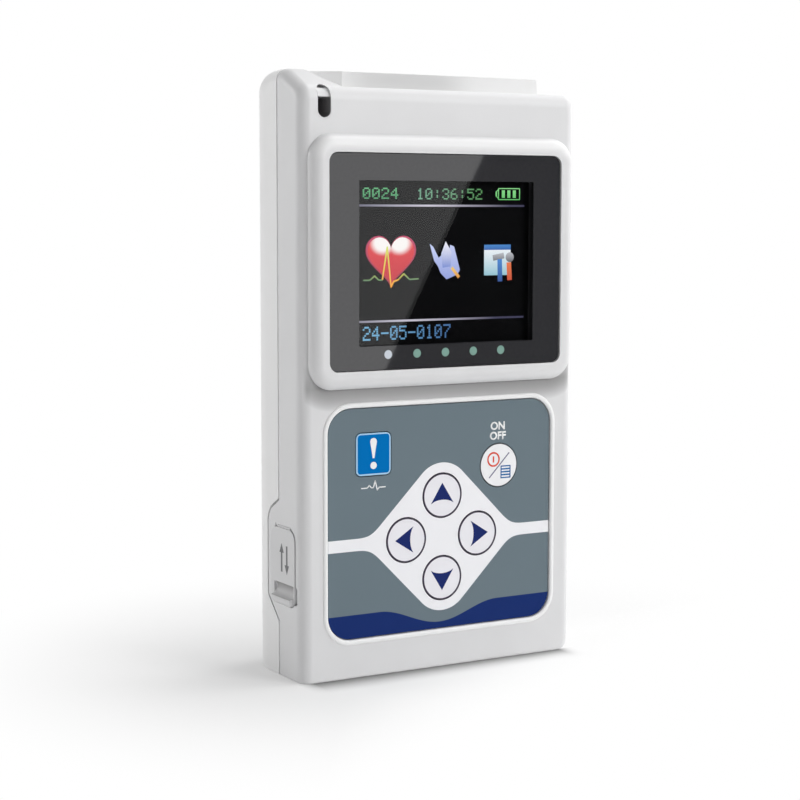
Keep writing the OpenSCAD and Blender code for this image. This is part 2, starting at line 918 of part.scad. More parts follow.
// Outline of the board, notched round the screw bosses
module board_outline() {
    gap = 0.35;
    top = socket_low - 0.1;
    difference() {
        translate([-half_w + wall + board_gap, board_low])
            square([body_w - 2 * wall - 2 * board_gap, top - board_low]);
        for (sx = [-1, 1], s = [low_screw, high_screw])
            translate([sx * s[0], s[1]])
                circle(d = boss_d + 2 * gap);
        for (sx = [-1, 1])
            translate([sx * (half_w - 3), low_screw[1]])
                square([6.2, boss_d + 2 * gap], center = true);
        for (sx = [-1, 1])
            translate([sx * board_screw[0], board_screw[1]])
                circle(d = 1.7);
        // Clear of the thicker wall behind the port cover
        translate([-half_w, cover_low - 1.3 - gap])
            square([wall + 0.5 + gap, cover_h + 2.6 + 2 * gap]);
    }
}

module main_board() {
    color([0.05, 0.35, 0.2])
        slab(board_front, board_back)
            board_outline();
}

// Flat chip with a row of leads on each of two sides
module chip(x, z, w, h, t, leads) {
    lead_l = 0.9;
    lead_w = 0.4;
    lead_t = 0.5;
    end_gap = 0.5;
    pitch = (h - 2 * end_gap) / (leads - 1);
    slab(board_back + 0.1, board_back + t)
        translate([x - w / 2, z - h / 2])
            square([w, h]);
    for (sx = [-1, 1], i = [0 : leads - 1])
        slab(board_back, board_back + lead_t)
            translate([x + sx * (w + lead_l) / 2, z - h / 2 + end_gap + i * pitch])
                square([lead_l, lead_w], center = true);
}

module processor_chip() {
    color([0.12, 0.12, 0.13])
        chip(-9, bay_top + 12.5, 9, 9, 1.4, 8);
}

module memory_chip() {
    color([0.12, 0.12, 0.13])
        chip(4, bay_top + 9.5, 8, 5, 1.2, 5);
}

// Screening can over the signal amplifier
module amplifier_shield() {
    t = 0.4;
    high = 3;
    can = [11, 13];
    middle = [17, bay_top + 12.5];
    vent_pitch = 2.2;
    color([0.75, 0.75, 0.77])
        difference() {
            slab(board_back, board_back + high)
                translate(middle)
                    square(can, center = true);
            slab(board_back - 1, board_back + high - t)
                translate(middle)
                    square([can[0] - 2 * t, can[1] - 2 * t], center = true);
            for (i = [-1.5 : 1.5], j = [-2 : 2])
                translate([i * vent_pitch, 0, j * vent_pitch])
                    peg(middle[0], middle[1], board_back + 1, board_back + high + 1, 1);
        }
}

// Coin cell that keeps the clock running
module clock_cell() {
    x = -19.6;
    z = bay_top + 7;
    rim = board_back + 1.6;
    color([0.78, 0.78, 0.78]) {
        peg(x, z, board_back, rim, 9.5);
        peg(x, z, rim - eps, rim + 0.5, 7.6);
    }
}

// Sounder with a small hole towards the front
module beeper() {
    x = 16.6;
    z = board_screw[1] + 2.2;
    high = 1.8;
    color([0.15, 0.15, 0.15])
        difference() {
            peg(x, z, board_front - high, board_front, 5.4);
            peg(x, z, board_front - high - 1, board_front - 1.2, 1.2);
        }
}

// Metal shell of the port, open towards the case's left side
module usb_socket() {
    t = 0.3;
    left = -half_w + tongue_t + 0.1;
    right = left + usb_l;
    blade = [0.7, usb_w - 2.4];
    color([0.75, 0.75, 0.77]) {
        difference() {
            port_bar(left, right, usb_t, usb_w);
            port_bar(left - 1, right - t, usb_t - 2 * t, usb_w - 2 * t);
        }
        // Contact blade
        port_bar(left + 0.8, right - t + eps, blade[0], blade[1]);
    }
}

// Square bar along the port's middle, from one width to another
module port_bar(from, to, t, w) {
    side_slab(from, to)
        translate([usb_mid, usb_z])
            square([t, w], center = true);
}

// Cover of the port: it turns on the bead along its top edge
module usb_cover() {
    color([0.88, 0.88, 0.88]) {
        difference() {
            union() {
                side_slab(-half_w - cover_proud, cover_inner)
                    cover_outline();
                intersection() {
                    pull_lip();
                    side_slab(-body_w, body_w)
                        cover_outline(-0.15);
                }
            }
            pull_scoop();
        }
        hinge_bar(bead_len, bead_d);
        // Plug that closes the port's mouth
        port_bar(cover_inner - eps, cover_inner + plug_l, plug_t, plug_w);
    }
}

// Lip at the foot of the cover, drawn as a section of width and height
module pull_lip() {
    along_pull(pull_w)
        polygon([
            [cover_t / 2, 0.15],
            [-0.15, 0.15],
            [-pull_proud + 0.1, 0.6],
            [-pull_proud, 1],
            [-pull_proud, scoop_up],
            [cover_t / 2, scoop_up]
        ]);
}

// Scoop above the lip for a fingertip
module pull_scoop() {
    along_pull(pull_w)
        translate([scoop_deep - scoop_r, scoop_up])
            circle(r = scoop_r);
}

// Draws a section from the cover's outer face and lower edge along the finger pull
module along_pull(length) {
    translate([-half_w - cover_proud, front_y + cover_mid - 0.35, cover_low])
        rotate([90, 0, 0])
            linear_extrude(length, center = true)
                children();
}

module patient_socket() {
    w = socket_w + 2 * socket_wall;
    t = socket_t + 2 * socket_wall;
    color([0.2, 0.2, 0.22])
        difference() {
            block([-w / 2, socket_mid - t / 2, socket_low], [w / 2, socket_mid + t / 2, socket_top]);
            translate([0, front_y + socket_mid, socket_top - socket_deep])
                linear_extrude(socket_deep + 1)
                    panel(socket_w, socket_t, 0.6);
            // Notch that keys the plug
            block([-2, socket_mid - t / 2 - 1, socket_top - 3],
                [2, socket_mid - socket_t / 2 + 1, socket_top + 1]);
            for (i = [0 : socket_pins - 1], sy = [-1, 1])
                translate([pin_x(i), front_y + socket_mid + sy * pin_rows / 2, socket_low - 1])
                    cylinder(h = 4, d = pin_d);
        }
}

function pin_x(i) = (i - (socket_pins - 1) / 2) * pin_pitch;

// Two rows of contacts: the front row lies on the board's back, and the rear row's tails turn forward to it
module patient_socket_pins() {
    tip = socket_top - socket_deep + pin_h;
    tail = [socket_low - 0.9, socket_low - 2.1];
    color([0.85, 0.7, 0.35])
        for (i = [0 : socket_pins - 1], row = [0, 1]) {
            translate([pin_x(i), front_y + socket_mid + (row - 0.5) * pin_rows, tail[row]]) {
                cylinder(h = tip - tail[row] - pin_d / 2, d = pin_d, $fn = 24);
                translate([0, 0, tip - tail[row] - pin_d / 2])
                    sphere(d = pin_d, $fn = 24);
                if (row == 1)
                    sphere(d = pin_d, $fn = 24);
            }
            if (row == 1)
                peg(pin_x(i), tail[1], board_back, socket_mid + pin_rows / 2, pin_d, $fn = 24);
        }
}

// Round cell standing on its flat end, button up
module cell() {
    button_h = 1.2;
    cylinder(h = cell_len - button_h, d = cell_d);
    cylinder(h = cell_len, d = 5.3);
}

module cell_left() {
    color([0.2, 0.3, 0.6])
        translate([-cell_x, front_y + cell_mid, bay_base + plate_t + spring_len])
            cell();
}

module cell_right() {
    color([0.2, 0.3, 0.6])
        translate([cell_x, front_y + cell_mid, bay_top - plate_t - spring_len])
            mirror([0, 0, 1])
                cell();
}

module battery_contacts() {
    w = cell_d - 4;
    color([0.8, 0.8, 0.8])
        for (sx = [-1, 1], z = [bay_base, bay_top - plate_t])
            block([sx * cell_x - w / 2, cell_mid - w / 2, z],
                [sx * cell_x + w / 2, cell_mid + w / 2, z + plate_t]);
}

// Conical contact spring: points of a rising coil whose radius falls, swept by a small square wire
spring_turns = 3;
spring_steps = 20;
spring_wire = 0.5;
spring_r0 = 4.6;
spring_r1 = 2.6;
function coil_ring(i) =
    let (
        n = spring_turns * spring_steps,
        f = i / n,
        a = 360 * spring_turns * f,
        r = spring_r0 + (spring_r1 - spring_r0) * f,
        z = (spring_len - spring_wire) * f,
        h = spring_wire / 2
    )
    [for (c = [[-h, 0], [h, 0], [h, 2 * h], [-h, 2 * h]])
        [(r + c[0]) * cos(a), (r + c[0]) * sin(a), z + c[1]]];

module coil_spring() {
    n = spring_turns * spring_steps;
    points = [for (i = [0 : n]) each coil_ring(i)];
    sides = [for (i = [0 : n - 1], k = [0 : 3])
        each [
            [4 * i + k, 4 * (i + 1) + (k + 1) % 4, 4 * i + (k + 1) % 4],
            [4 * i + k, 4 * (i + 1) + k, 4 * (i + 1) + (k + 1) % 4]
        ]];
    ends = [[0, 1, 2], [0, 2, 3], [4 * n, 4 * n + 2, 4 * n + 1], [4 * n, 4 * n + 3, 4 * n + 2]];
    polyhedron(points = points, faces = concat(sides, ends));
}

module battery_springs() {
    color([0.8, 0.8, 0.8]) {
        translate([-cell_x, front_y + cell_mid, bay_base + plate_t])
            coil_spring();
        translate([cell_x, front_y + cell_mid, bay_top - plate_t])
            rotate([180, 0, 0])
                coil_spring();
    }
}

// Pan head screw whose head seats at depth 0 and whose shank runs forwards
module screw(x, z, seat, length, d, head_d, head_t) {
    difference() {
        union() {
            peg(x, z, seat - length, seat + eps, d);
            peg(x, z, seat, seat + head_t, head_d);
        }
        for (turn = [0, 90])
            translate([x, front_y + seat + head_t, z])
                rotate([0, turn, 0])
                    cube([head_d * 0.62, head_t * 1.2, head_d * 0.16], center = true);
    }
}

module case_screws() {
    color([0.7, 0.7, 0.72])
        for (sx = [-1, 1], s = [low_screw, high_screw])
            screw(sx * s[0], s[1], screw_seat, screw_len, screw_core_d, screw_head_d, screw_head_t);
}

module board_screws() {
    color([0.7, 0.7, 0.72])
        for (sx = [-1, 1])
            screw(sx * board_screw[0], board_screw[1], board_back, 3.4, 1.2, 2.6, 0.9);
}

front_case();
rear_case();
battery_door();
display_window();
window_gasket();
display_module();
display_carrier();
display_ribbon();
indicator_pipes();
indicator_leds();
keypad_overlay();
key_up();
key_down();
key_left();
key_right();
mark_key();
power_key();
key_switches();
main_board();
processor_chip();
memory_chip();
amplifier_shield();
clock_cell();
beeper();
usb_socket();
usb_cover();
patient_socket();
patient_socket_pins();
cell_left();
cell_right();
battery_contacts();
battery_springs();
case_screws();
board_screws();
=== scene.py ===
"""Pocket heart recorder: finishes, printed marks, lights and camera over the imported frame."""
import json
import logging
import math
import re
from collections.abc import Callable
from dataclasses import dataclass
from enum import Enum

import bmesh
import bpy
from bmesh.types import BMEdge, BMesh, BMVert
from bpy.types import ID, Material, NodeSocket, Object, World
from mathutils import Matrix, Vector

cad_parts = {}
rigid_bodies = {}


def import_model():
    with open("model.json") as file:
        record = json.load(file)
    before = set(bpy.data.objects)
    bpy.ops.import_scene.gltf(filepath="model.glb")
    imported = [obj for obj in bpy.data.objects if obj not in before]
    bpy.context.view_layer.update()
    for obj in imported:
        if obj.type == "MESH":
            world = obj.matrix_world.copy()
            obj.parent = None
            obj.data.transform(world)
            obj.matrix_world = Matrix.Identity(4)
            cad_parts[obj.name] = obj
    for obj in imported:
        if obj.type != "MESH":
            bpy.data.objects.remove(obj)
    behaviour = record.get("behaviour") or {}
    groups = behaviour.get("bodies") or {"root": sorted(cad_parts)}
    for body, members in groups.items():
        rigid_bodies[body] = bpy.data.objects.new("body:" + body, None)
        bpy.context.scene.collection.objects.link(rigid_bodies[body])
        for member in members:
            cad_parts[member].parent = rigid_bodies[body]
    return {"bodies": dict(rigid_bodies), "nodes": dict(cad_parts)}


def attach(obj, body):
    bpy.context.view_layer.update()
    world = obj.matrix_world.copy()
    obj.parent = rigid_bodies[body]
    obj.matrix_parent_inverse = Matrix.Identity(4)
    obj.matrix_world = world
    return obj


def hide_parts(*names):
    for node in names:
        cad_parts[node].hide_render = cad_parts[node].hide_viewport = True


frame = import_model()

log = logging.getLogger("recorder")
MM = 0.001
Colour = tuple[float, float, float]
Point = tuple[float, float]
Place = tuple[float, float, float]
Shade = tuple[int, int, int]
BLACK: Colour = (0.0, 0.0, 0.0)
WHITE: Colour = (1.0, 1.0, 1.0)
OBJECT_COORDS = 3            # output of the Texture Coordinate node
INK_THICK = 0.02
CLUSTER: Point = (0.0, 22.95)   # middle of the arrow keys
SPREAD = 7.24                # from there to each key's middle
SQUARE: Point = (-13.7, 38.27)  # middle of the square key


def paint(*levels: int) -> Colour:
    """Turns red, green and blue as seen on screen, 0 to 255, into the linear ones that shaders take."""
    shares = (level / 255 for level in levels)
    return tuple(v / 12.92 if v <= 0.04045 else ((v + 0.055) / 1.055) ** 2.4 for v in shares)


class Body(Enum):
    """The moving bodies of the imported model."""

    CASE = "case"
    UP = "key_up_body"
    DOWN = "key_down_body"
    LEFT = "key_left_body"
    RIGHT = "key_right_body"
    MARK = "mark_key_body"
    POWER = "power_key_body"
    COVER = "port_cover"
    DOOR = "battery_door_body"


class Facing(Enum):
    """Which side a flat drawing looks out of."""

    FRONT = "front"
    LEFT = "left"

    def stand(self, at: float) -> Matrix:
        """Stands a drawing in mm up in the frame, at a depth (front) or a place across (left) in mm."""
        rows = ((1, 0, 0, 0), (0, 0, -1, at)) if self is Facing.FRONT else ((0, 0, -1, at), (-1, 0, 0, 0))
        return Matrix.Scale(MM, 4) @ Matrix((*rows, (0, 1, 0, 0), (0, 0, 0, 1)))


# ---- shader maths


def maths(operation: str, swap: bool = False) -> "Callable[..., Wire]":
    """Makes a method of Wire that adds one Math node; swap puts the other value first, as in 1 - mask."""
    def act(*values: "Wire | float") -> "Wire":
        """Adds the node."""
        ordered = values[::-1] if swap else values
        return values[0].bench.node("Math", {"operation": operation}, dict(enumerate(ordered)))
    return act


class Wire:
    """A value socket of a node tree, so that shader maths is written as plain expressions."""

    __add__ = __radd__ = maths("ADD")
    __sub__ = maths("SUBTRACT")
    __rsub__ = maths("SUBTRACT", swap=True)
    __mul__ = __rmul__ = maths("MULTIPLY")
    __truediv__ = maths("DIVIDE")
    __abs__ = maths("ABSOLUTE")
    cosine = maths("COSINE")
    root = maths("SQRT")
    least = maths("MINIMUM")
    most = maths("MAXIMUM")
    melt = maths("SMOOTH_MIN")      # the smaller of two distances, eased into each other over a reach
    fold = maths("PINGPONG")        # the value folded back and forth between 0 and a limit

    def __init__(self, bench: "Bench", socket: NodeSocket) -> None:
        """Keeps the socket and the bench it is on."""
        self.bench = bench
        self.socket = socket

    def inside(self, softness: float = 0.04) -> "Wire":
        """A mask from a distance in mm: 1 within the shape, 0 outside it."""
        return self.bench.ramp(self, -softness / 2, softness / 2, 1.0, 0.0)


class Bench:
    """A material or a world under construction: its node tree, its main shader and the node maker."""

    def __init__(self, base: Material | World) -> None:
        """Starts from the main shader that a new material or world brings along."""
        base.use_nodes = True
        self.tree = base.node_tree
        main = "Background" if isinstance(base, World) else "Principled BSDF"
        self.shader = self.tree.nodes[main]

    def node(self, kind: str, settings: dict, values: dict, out: int = 0) -> Wire:
        """Adds a node with properties and with inputs by index or name, and returns one of its outputs."""
        made = self.tree.nodes.new("ShaderNode" + kind)
        for key, value in settings.items():
            setattr(made, key, value)
        for key, value in values.items():
            self.feed(made.inputs[key], value)
        return Wire(self, made.outputs[out])

    def feed(self, socket: NodeSocket, value: Wire | float | tuple) -> None:
        """Links a Wire to a socket, or sets the socket's own value."""
        if isinstance(value, Wire):
            self.tree.links.new(value.socket, socket)
        elif isinstance(value, tuple) and len(value) == 3 and len(socket.default_value) == 4:
            socket.default_value = (*value, 1.0)
        else:
            socket.default_value = value

    def set(self, **sockets: Wire | float | Colour) -> None:
        """Feeds sockets of the main shader, written with _ for a space."""
        for name, value in sockets.items():
            self.feed(self.shader.inputs[name.replace("_", " ")], value)

    def place(self) -> tuple[Wire, Wire, Wire]:
        """Width, depth and height of the shaded point in mm."""
        coords = self.node("TexCoord", {}, {}, OBJECT_COORDS)
        split = self.tree.nodes.new("ShaderNodeSeparateXYZ")
        self.feed(split.inputs[0], coords)
        return tuple(Wire(self, split.outputs[i]) / MM for i in range(3))

    def rays(self) -> tuple[Wire, Wire, Wire]:
        """Masks of the camera's own rays, of mirrored rays and of rays through clear pieces."""
        path = self.tree.nodes.new("ShaderNodeLightPath")
        kinds = ("Camera", "Glossy", "Transmission")
        return tuple(Wire(self, path.outputs[f"Is {kind} Ray"]) for kind in kinds)

    def noise(self, size: float, detail: float = 2.0, stretch: Colour | None = None) -> Wire:
        """Cloudy noise around 0.5 with features of the given size in mm, drawn out by stretch."""
        coords = self.node("TexCoord", {}, {}, OBJECT_COORDS)
        if stretch:
            coords = self.node("Mapping", {}, {"Vector": coords, "Scale": stretch})
        return self.node("TexNoise", {}, {"Vector": coords, "Scale": 1 / (size * MM), "Detail": detail})

    def ramp(self, value: Wire, start: float, end: float, first: float = 0.0, last: float = 1.0,
             kind: str = "LINEAR") -> Wire:
        """Runs from first to last while a value goes from start to end."""
        return self.node("MapRange", {"clamp": True, "interpolation_type": kind},
                         {0: value, 1: start, 2: end, 3: first, 4: last})

    def mix(self, factor: Wire | float, first: Wire | Colour, second: Wire | Colour) -> Wire:
        """Colour from first at 0 to second at 1."""
        return self.node("Mix", {"data_type": "RGBA"}, {0: factor, 6: first, 7: second}, 2)

    def blend(self, factor: Wire, first: Wire | None, second: Wire) -> Wire:
        """Shader from first (the main one if none is given) at 0 to second at 1, led to the surface."""
        made = self.node("MixShader", {},
                         {0: factor, 1: first or Wire(self, self.shader.outputs[0]), 2: second})
        self.feed(self.tree.nodes["Material Output"].inputs["Surface"], made)
        return made

    def relief(self, height: Wire, depth: float, strength: float = 1.0) -> None:
        """Bumps the surface by a height field of the given depth in mm."""
        values = {"Strength": strength, "Distance": depth * MM, "Height": height}
        self.set(Normal=self.node("Bump", {}, values))

    def away(self, u: Wire, v: Wire, centre: Point) -> Wire:
        """Distance in mm from a centre."""
        du, dv = u - centre[0], v - centre[1]
        return (du * du + dv * dv).root()

    def tablet(self, u: Wire, v: Wire, centre: Point, half: Point, radius: float) -> Wire:
        """Distance in mm to a rounded rectangle, below 0 inside it."""
        du = abs(u - centre[0]) - (half[0] - radius)
        dv = abs(v - centre[1]) - (half[1] - radius)
        ou, ov = du.most(0.0), dv.most(0.0)
        return (ou * ou + ov * ov).root() + du.most(dv).least(0.0) - radius


# ---- finishes


class Finish:
    """What a surface is made of; each finish lays its own nodes."""

    def lay(self, bench: Bench) -> None:
        """Lays the nodes."""
        raise NotImplementedError

    def material(self, name: str) -> Material:
        """Makes the material."""
        made = bpy.data.materials.new(name)
        self.lay(Bench(made))
        return made


@dataclass(frozen=True)
class Moulding(Finish):
    """Injection moulded plastic with a fine spark-eroded grain."""

    colour: Colour
    roughness: float = 0.42
    grain: float = 0.28
    relief: float = 0.012
    drift: float = 0.03
    shine: float = 0.4

    def tint(self, bench: Bench) -> Wire | Colour:
        """The colour before its faint clouds."""
        return self.colour

    def lay(self, bench: Bench) -> None:
        """Lays the nodes."""
        cloud = bench.noise(9.0)
        grain = bench.noise(self.grain, 3.0)
        bench.set(Base_Color=bench.mix(cloud * 2 * self.drift, self.tint(bench), BLACK),
                  Roughness=self.roughness + (grain - 0.5) * 0.12, Specular_IOR_Level=self.shine)
        bench.relief(grain, self.relief, 0.6)


@dataclass(frozen=True)
class Ink(Moulding):
    """Screen printed ink: flat, hardly shiny."""

    roughness: float = 0.5
    grain: float = 0.2
    relief: float = 0.002
    drift: float = 0.02
    shine: float = 0.08


class ShellPlastic(Moulding):
    """White case plastic with painted shadow under the screen surround, a painted highlight on its roll and
    painted shade in the lanyard slot.
    """

    slot = (-22.95, 96.93)
    slot_half = (1.35, 2.85)
    slot_r = 1.3
    slot_face = -10.1
    # painted shade inside the lanyard slot, below its bar
    slot_painted_shade = paint(140, 138, 140)
    bar_low = 97.85
    frame_mid = (0.0, 70.7)
    frame_half = (26.15, 21.2)
    frame_r = 4.2
    # painted shadow on the case below the screen surround
    crease_reach = 3.6
    crease_rise = 2.2
    crease_front = (-10.45, -9.9)
    crease_painted_shadow = paint(92, 90, 90)
    crease_shadow_share = 0.7
    # painted highlight on the surround's rolled top edge
    roll_in = 1.3
    roll_half = 1.0
    roll_drop = 3.4
    roll_front = -10.4
    roll_highlight_share = 0.55

    def crease(self, bench: Bench, away: Wire, y: Wire, z: Wire) -> Wire:
        """Where a painted shadow darkens the case below the foot of the raised screen surround, 0 to 1."""
        fall = bench.ramp(away, -0.3, self.crease_reach, 1.0, 0.0)
        under = (z - (self.frame_mid[1] - self.frame_half[1] + self.crease_rise)).inside(4.0)
        front = (y - self.crease_front[1]).inside(0.4) * (self.crease_front[0] - y).inside(0.2)
        return fall * (2 - fall) * under * front

    def roll(self, away: Wire, y: Wire, z: Wire) -> Wire:
        """Where a painted highlight brightens the rolled top edge of the surround, 0 to 1."""
        upper = (self.frame_mid[1] + self.frame_half[1] - self.roll_drop - z).inside(2.0)
        edge = (abs(away + self.roll_in) - self.roll_half).inside(0.7)
        return edge * upper * (y - self.roll_front).inside(0.2)

    def tint(self, bench: Bench) -> Wire:
        """White with painted shadow below the surround, a painted highlight on its roll and painted shade in
        the slot.
        """
        x, y, z = bench.place()
        mouth = bench.tablet(x, z, self.slot, self.slot_half, self.slot_r).inside(0.1)
        sunk = (self.slot_face - y).inside(0.5) * (z - self.bar_low).inside(0.3)
        away = bench.tablet(x, z, self.frame_mid, self.frame_half, self.frame_r)
        # painted shadow below the surround
        colour = bench.mix(self.crease(bench, away, y, z) * self.crease_shadow_share, self.colour, self.crease_painted_shadow)
        # painted highlight on the surround's roll
        colour = bench.mix(self.roll(away, y, z) * self.roll_highlight_share, colour, WHITE)
        # painted shade in the lanyard slot's mouth below the bar
        return bench.mix(mouth * sunk, colour, self.slot_painted_shade)


class CoverPlastic(Moulding):
    """White plastic of the port cover with painted shade towards the top of the finger scoop."""

    # painted shade in the finger scoop, darkest at its top
    scoop_middle = -4.3
    scoop_half = 3.4
    scoop_low = 13.6
    scoop_high = 16.35
    scoop_painted_shade = paint(120, 118, 118)
    scoop_share = 0.8

    def tint(self, bench: Bench) -> Wire:
        """White with painted shade in the scoop."""
        _, y, z = bench.place()
        rise = bench.ramp(z, self.scoop_low, self.scoop_high)
        across = (abs(y - self.scoop_middle) - self.scoop_half).inside(0.3)
        below = (z - self.scoop_high).inside(0.15)
        # painted shade in the scoop
        return bench.mix(rise * across * below * self.scoop_share, self.colour, self.scoop_painted_shade)


class KeypadFilm(Finish):
    """Printed film of the keypad: pale diamond with side bands, slate field, dark wave below, painted shade
    round each arrow key's hole.
    """

    slate = paint(112, 127, 135)
    pale = paint(252, 252, 255)
    navy = paint(8, 42, 110)
    # painted shade in the gap round each arrow key
    ring = paint(80, 72, 90)
    dust = (0.3, 0.32, 0.35)
    centre = CLUSTER
    spread = SPREAD
    lobe = 5.73
    shoulder = 5.2
    band_half = 1.05
    flow = 2.2
    wave_top = 10.95
    wave_dip = 2.95
    wave_reach = 12.0
    wave_mid = -0.5
    ring_r = 4.0

    def diamond(self, bench: Bench, x: Wire, z: Wire) -> Wire:
        """Distance to the pale shape: a diamond with round top and foot that flows into two bands."""
        root2 = math.sqrt(2)
        across, along = x - self.centre[0], z - self.centre[1]
        turned_u, turned_v = (across + along) / root2, (along - across) / root2
        arm = self.spread / root2 + self.lobe
        rounded = bench.tablet(turned_u, turned_v, (0.0, 0.0), (arm, arm), self.lobe)
        sharp = (abs(across) + abs(along) - self.spread - self.lobe * root2) / root2
        whole = rounded.least(sharp.most(abs(along) - self.shoulder))
        return whole.melt(abs(along) - self.band_half, self.flow)

    def lay(self, bench: Bench) -> None:
        """Lays the nodes."""
        x, _, z = bench.place()
        turn = ((x - self.wave_mid) / self.wave_reach).most(-1.0).least(1.0) * math.pi
        crest = self.wave_top - (turn.cosine() + 1) * (self.wave_dip / 2)
        colour = bench.mix((z - crest).inside(), self.slate, self.navy)
        colour = bench.mix(self.diamond(bench, x, z).inside(), colour, self.pale)
        # painted shade round each arrow key's hole
        for du, dv in ((0, 1), (0, -1), (-1, 0), (1, 0)):
            hole = bench.away(x, z, (self.centre[0] + du * self.spread, self.centre[1] + dv * self.spread))
            colour = bench.mix((hole - self.ring_r).inside(0.03), colour, self.ring)
        speck = bench.noise(0.12)
        bench.set(Base_Color=bench.mix((speck - 0.5) * 0.12 + 0.02, colour, self.dust),
                  Roughness=0.4 + (speck - 0.5) * 0.1, Specular_IOR_Level=0.08)
        bench.relief(speck, 0.004, 0.5)


@dataclass(frozen=True, kw_only=True)
class KeyCap(Moulding):
    """Round key: pale moulded cap whose side carries painted shade, so that its rim reads as a thin dark
    ring.
    """

    centre: Point
    colour: Colour = paint(245, 244, 249)
    # painted shade of the gap round the key
    side: Colour = paint(88, 78, 100)
    rim: float = 3.62
    roughness: float = 0.38
    grain: float = 0.2
    relief: float = 0.006
    drift: float = 0.01

    def tint(self, bench: Bench) -> Wire:
        """Pale face, side in painted shade."""
        x, _, z = bench.place()
        face = (bench.away(x, z, self.centre) - self.rim).inside(0.03)
        return bench.mix(face, self.side, self.colour)


@dataclass(frozen=True)
class SquareCap(Moulding):
    """Square key: blue face inside a pale printed border."""

    centre = SQUARE
    half = (3.35, 3.6)
    border = 0.26
    radius = 0.8
    colour: Colour = paint(0, 116, 192)
    pale = paint(178, 218, 246)
    grain: float = 0.2
    relief: float = 0.005
    drift: float = 0.01
    shine: float = 0.03

    def tint(self, bench: Bench) -> Wire:
        """Blue face, pale border."""
        x, _, z = bench.place()
        field = (bench.tablet(x, z, self.centre, self.half, self.radius) + self.border).inside()
        return bench.mix(field, self.pale, self.colour)


class Pane(Finish):
    """Clear hard-coated window with a dark border printed on it, open over the screen and the lamps."""

    border = paint(50, 50, 53)
    dust = (0.2, 0.2, 0.2)
    view_mid = (-0.01, 70.45)
    view_half = (17.41, 13.8)
    view_r = 0.2
    lamps = 5
    lamp_first = (-11.85, 55.2)
    lamp_pitch = 5.65
    lamp_r = 0.74
    lit = paint(208, 216, 226)
    unlit = paint(138, 176, 164)
    clear = (0.96, 0.965, 0.97)
    mirror = 0.45
    face = -11.8

    def lay(self, bench: Bench) -> None:
        """Lays the nodes, with clear glass over the screen."""
        x, y, z = bench.place()
        front = (y - self.face).inside(0.1)
        opening = bench.tablet(x, z, self.view_mid, self.view_half, self.view_r).inside(0.05)
        colour = bench.mix(bench.noise(0.6) * 0.05, self.border, self.dust)
        for i in range(self.lamps):
            middle = (self.lamp_first[0] + i * self.lamp_pitch, self.lamp_first[1])
            spot = bench.away(x, z, middle) - self.lamp_r
            colour = bench.mix(spot.inside(0.12) * front, colour, self.unlit if i else self.lit)
        bench.set(Base_Color=colour, Roughness=0.02, Coat_Weight=1.0)
        clear = bench.node("BsdfTransparent", {}, {"Color": self.clear})
        gloss = bench.node("BsdfGlossy", {}, {"Color": WHITE, "Roughness": 0.0})
        bend = bench.node("Fresnel", {}, {"IOR": 1.49})
        bench.blend(opening, None, bench.blend(bend * self.mirror, clear, gloss))


class LitInk(Finish):
    """Ink that glows on the dark screen."""

    def glow(self, bench: Bench) -> Wire:
        """The light's colour."""
        raise NotImplementedError

    def lay(self, bench: Bench) -> None:
        """Lays the nodes."""
        bench.set(Base_Color=(0.01, 0.01, 0.01), Roughness=0.5, Emission_Strength=1.0,
                  Emission_Color=self.glow(bench))


@dataclass(frozen=True)
class Fade(LitInk):
    """Light that runs from one colour to another along the height or the width."""

    low: Colour
    high: Colour
    span: Point
    across: bool = False

    def glow(self, bench: Bench) -> Wire:
        """The light's colour."""
        x, _, z = bench.place()
        return bench.mix(bench.ramp(x if self.across else z, *self.span), self.low, self.high)


@dataclass(frozen=True)
class RuleGlow(LitInk):
    """Hairline on the screen: bright in its middle, fading out towards both ends."""

    centre: float
    reach = 16.6
    bright = paint(205, 200, 215)
    dim = paint(46, 44, 78)

    def glow(self, bench: Bench) -> Wire:
        """The light's colour."""
        x, _, _ = bench.place()
        return bench.mix((abs(x - self.centre) / self.reach).least(1.0), self.bright, self.dim)


@dataclass(frozen=True)
class HeartGlow(LitInk):
    """Lit red heart with a soft pale shine on each lobe; places are shares of its half width."""

    centre: Point
    size: float
    red = paint(226, 44, 52)
    deep = paint(196, 24, 48)
    shine = paint(255, 250, 246)
    lobe = (0.36, 0.62)
    lobe_squash = 1.2
    lobe_fade = (0.28, 0.62)

    def glow(self, bench: Bench) -> Wire:
        """The light's colour."""
        x, _, z = bench.place()
        u, v = (x - self.centre[0]) / self.size, (z - self.centre[1]) / self.size
        colour = bench.mix(bench.ramp(v, -1.0, 0.4), self.deep, self.red)
        lobes = bench.away(abs(u), v * self.lobe_squash, self.lobe)
        return bench.mix(bench.ramp(lobes, *self.lobe_fade, 1.0, 0.0, "SMOOTHSTEP"), colour, self.shine)


class LampPlastic(Finish):
    """Clear light pipes: the first glows white, the others pale green."""

    first = paint(214, 222, 232)
    others = paint(132, 170, 152)
    border = -9.0

    def lay(self, bench: Bench) -> None:
        """Lays the nodes."""
        x, _, _ = bench.place()
        colour = bench.mix((x - self.border).inside(), self.others, self.first)
        bench.set(Base_Color=colour, Roughness=0.3 + bench.noise(0.5) * 0.1, Emission_Color=colour,
                  Emission_Strength=0.6)


@dataclass(frozen=True)
class Metal(Finish):
    """Plated or brushed metal with fine drawn lines."""

    colour: Colour
    roughness: float = 0.3
    lines: Colour = (1.0, 1.0, 12.0)

    def lay(self, bench: Bench) -> None:
        """Lays the nodes."""
        lines = bench.noise(0.35, 4.0, self.lines)
        bench.set(Base_Color=bench.mix(lines * 0.25, self.colour, (0.2, 0.2, 0.2)), Metallic=1.0,
                  Roughness=self.roughness + (lines - 0.5) * 0.15)
        bench.relief(lines, 0.004, 0.4)


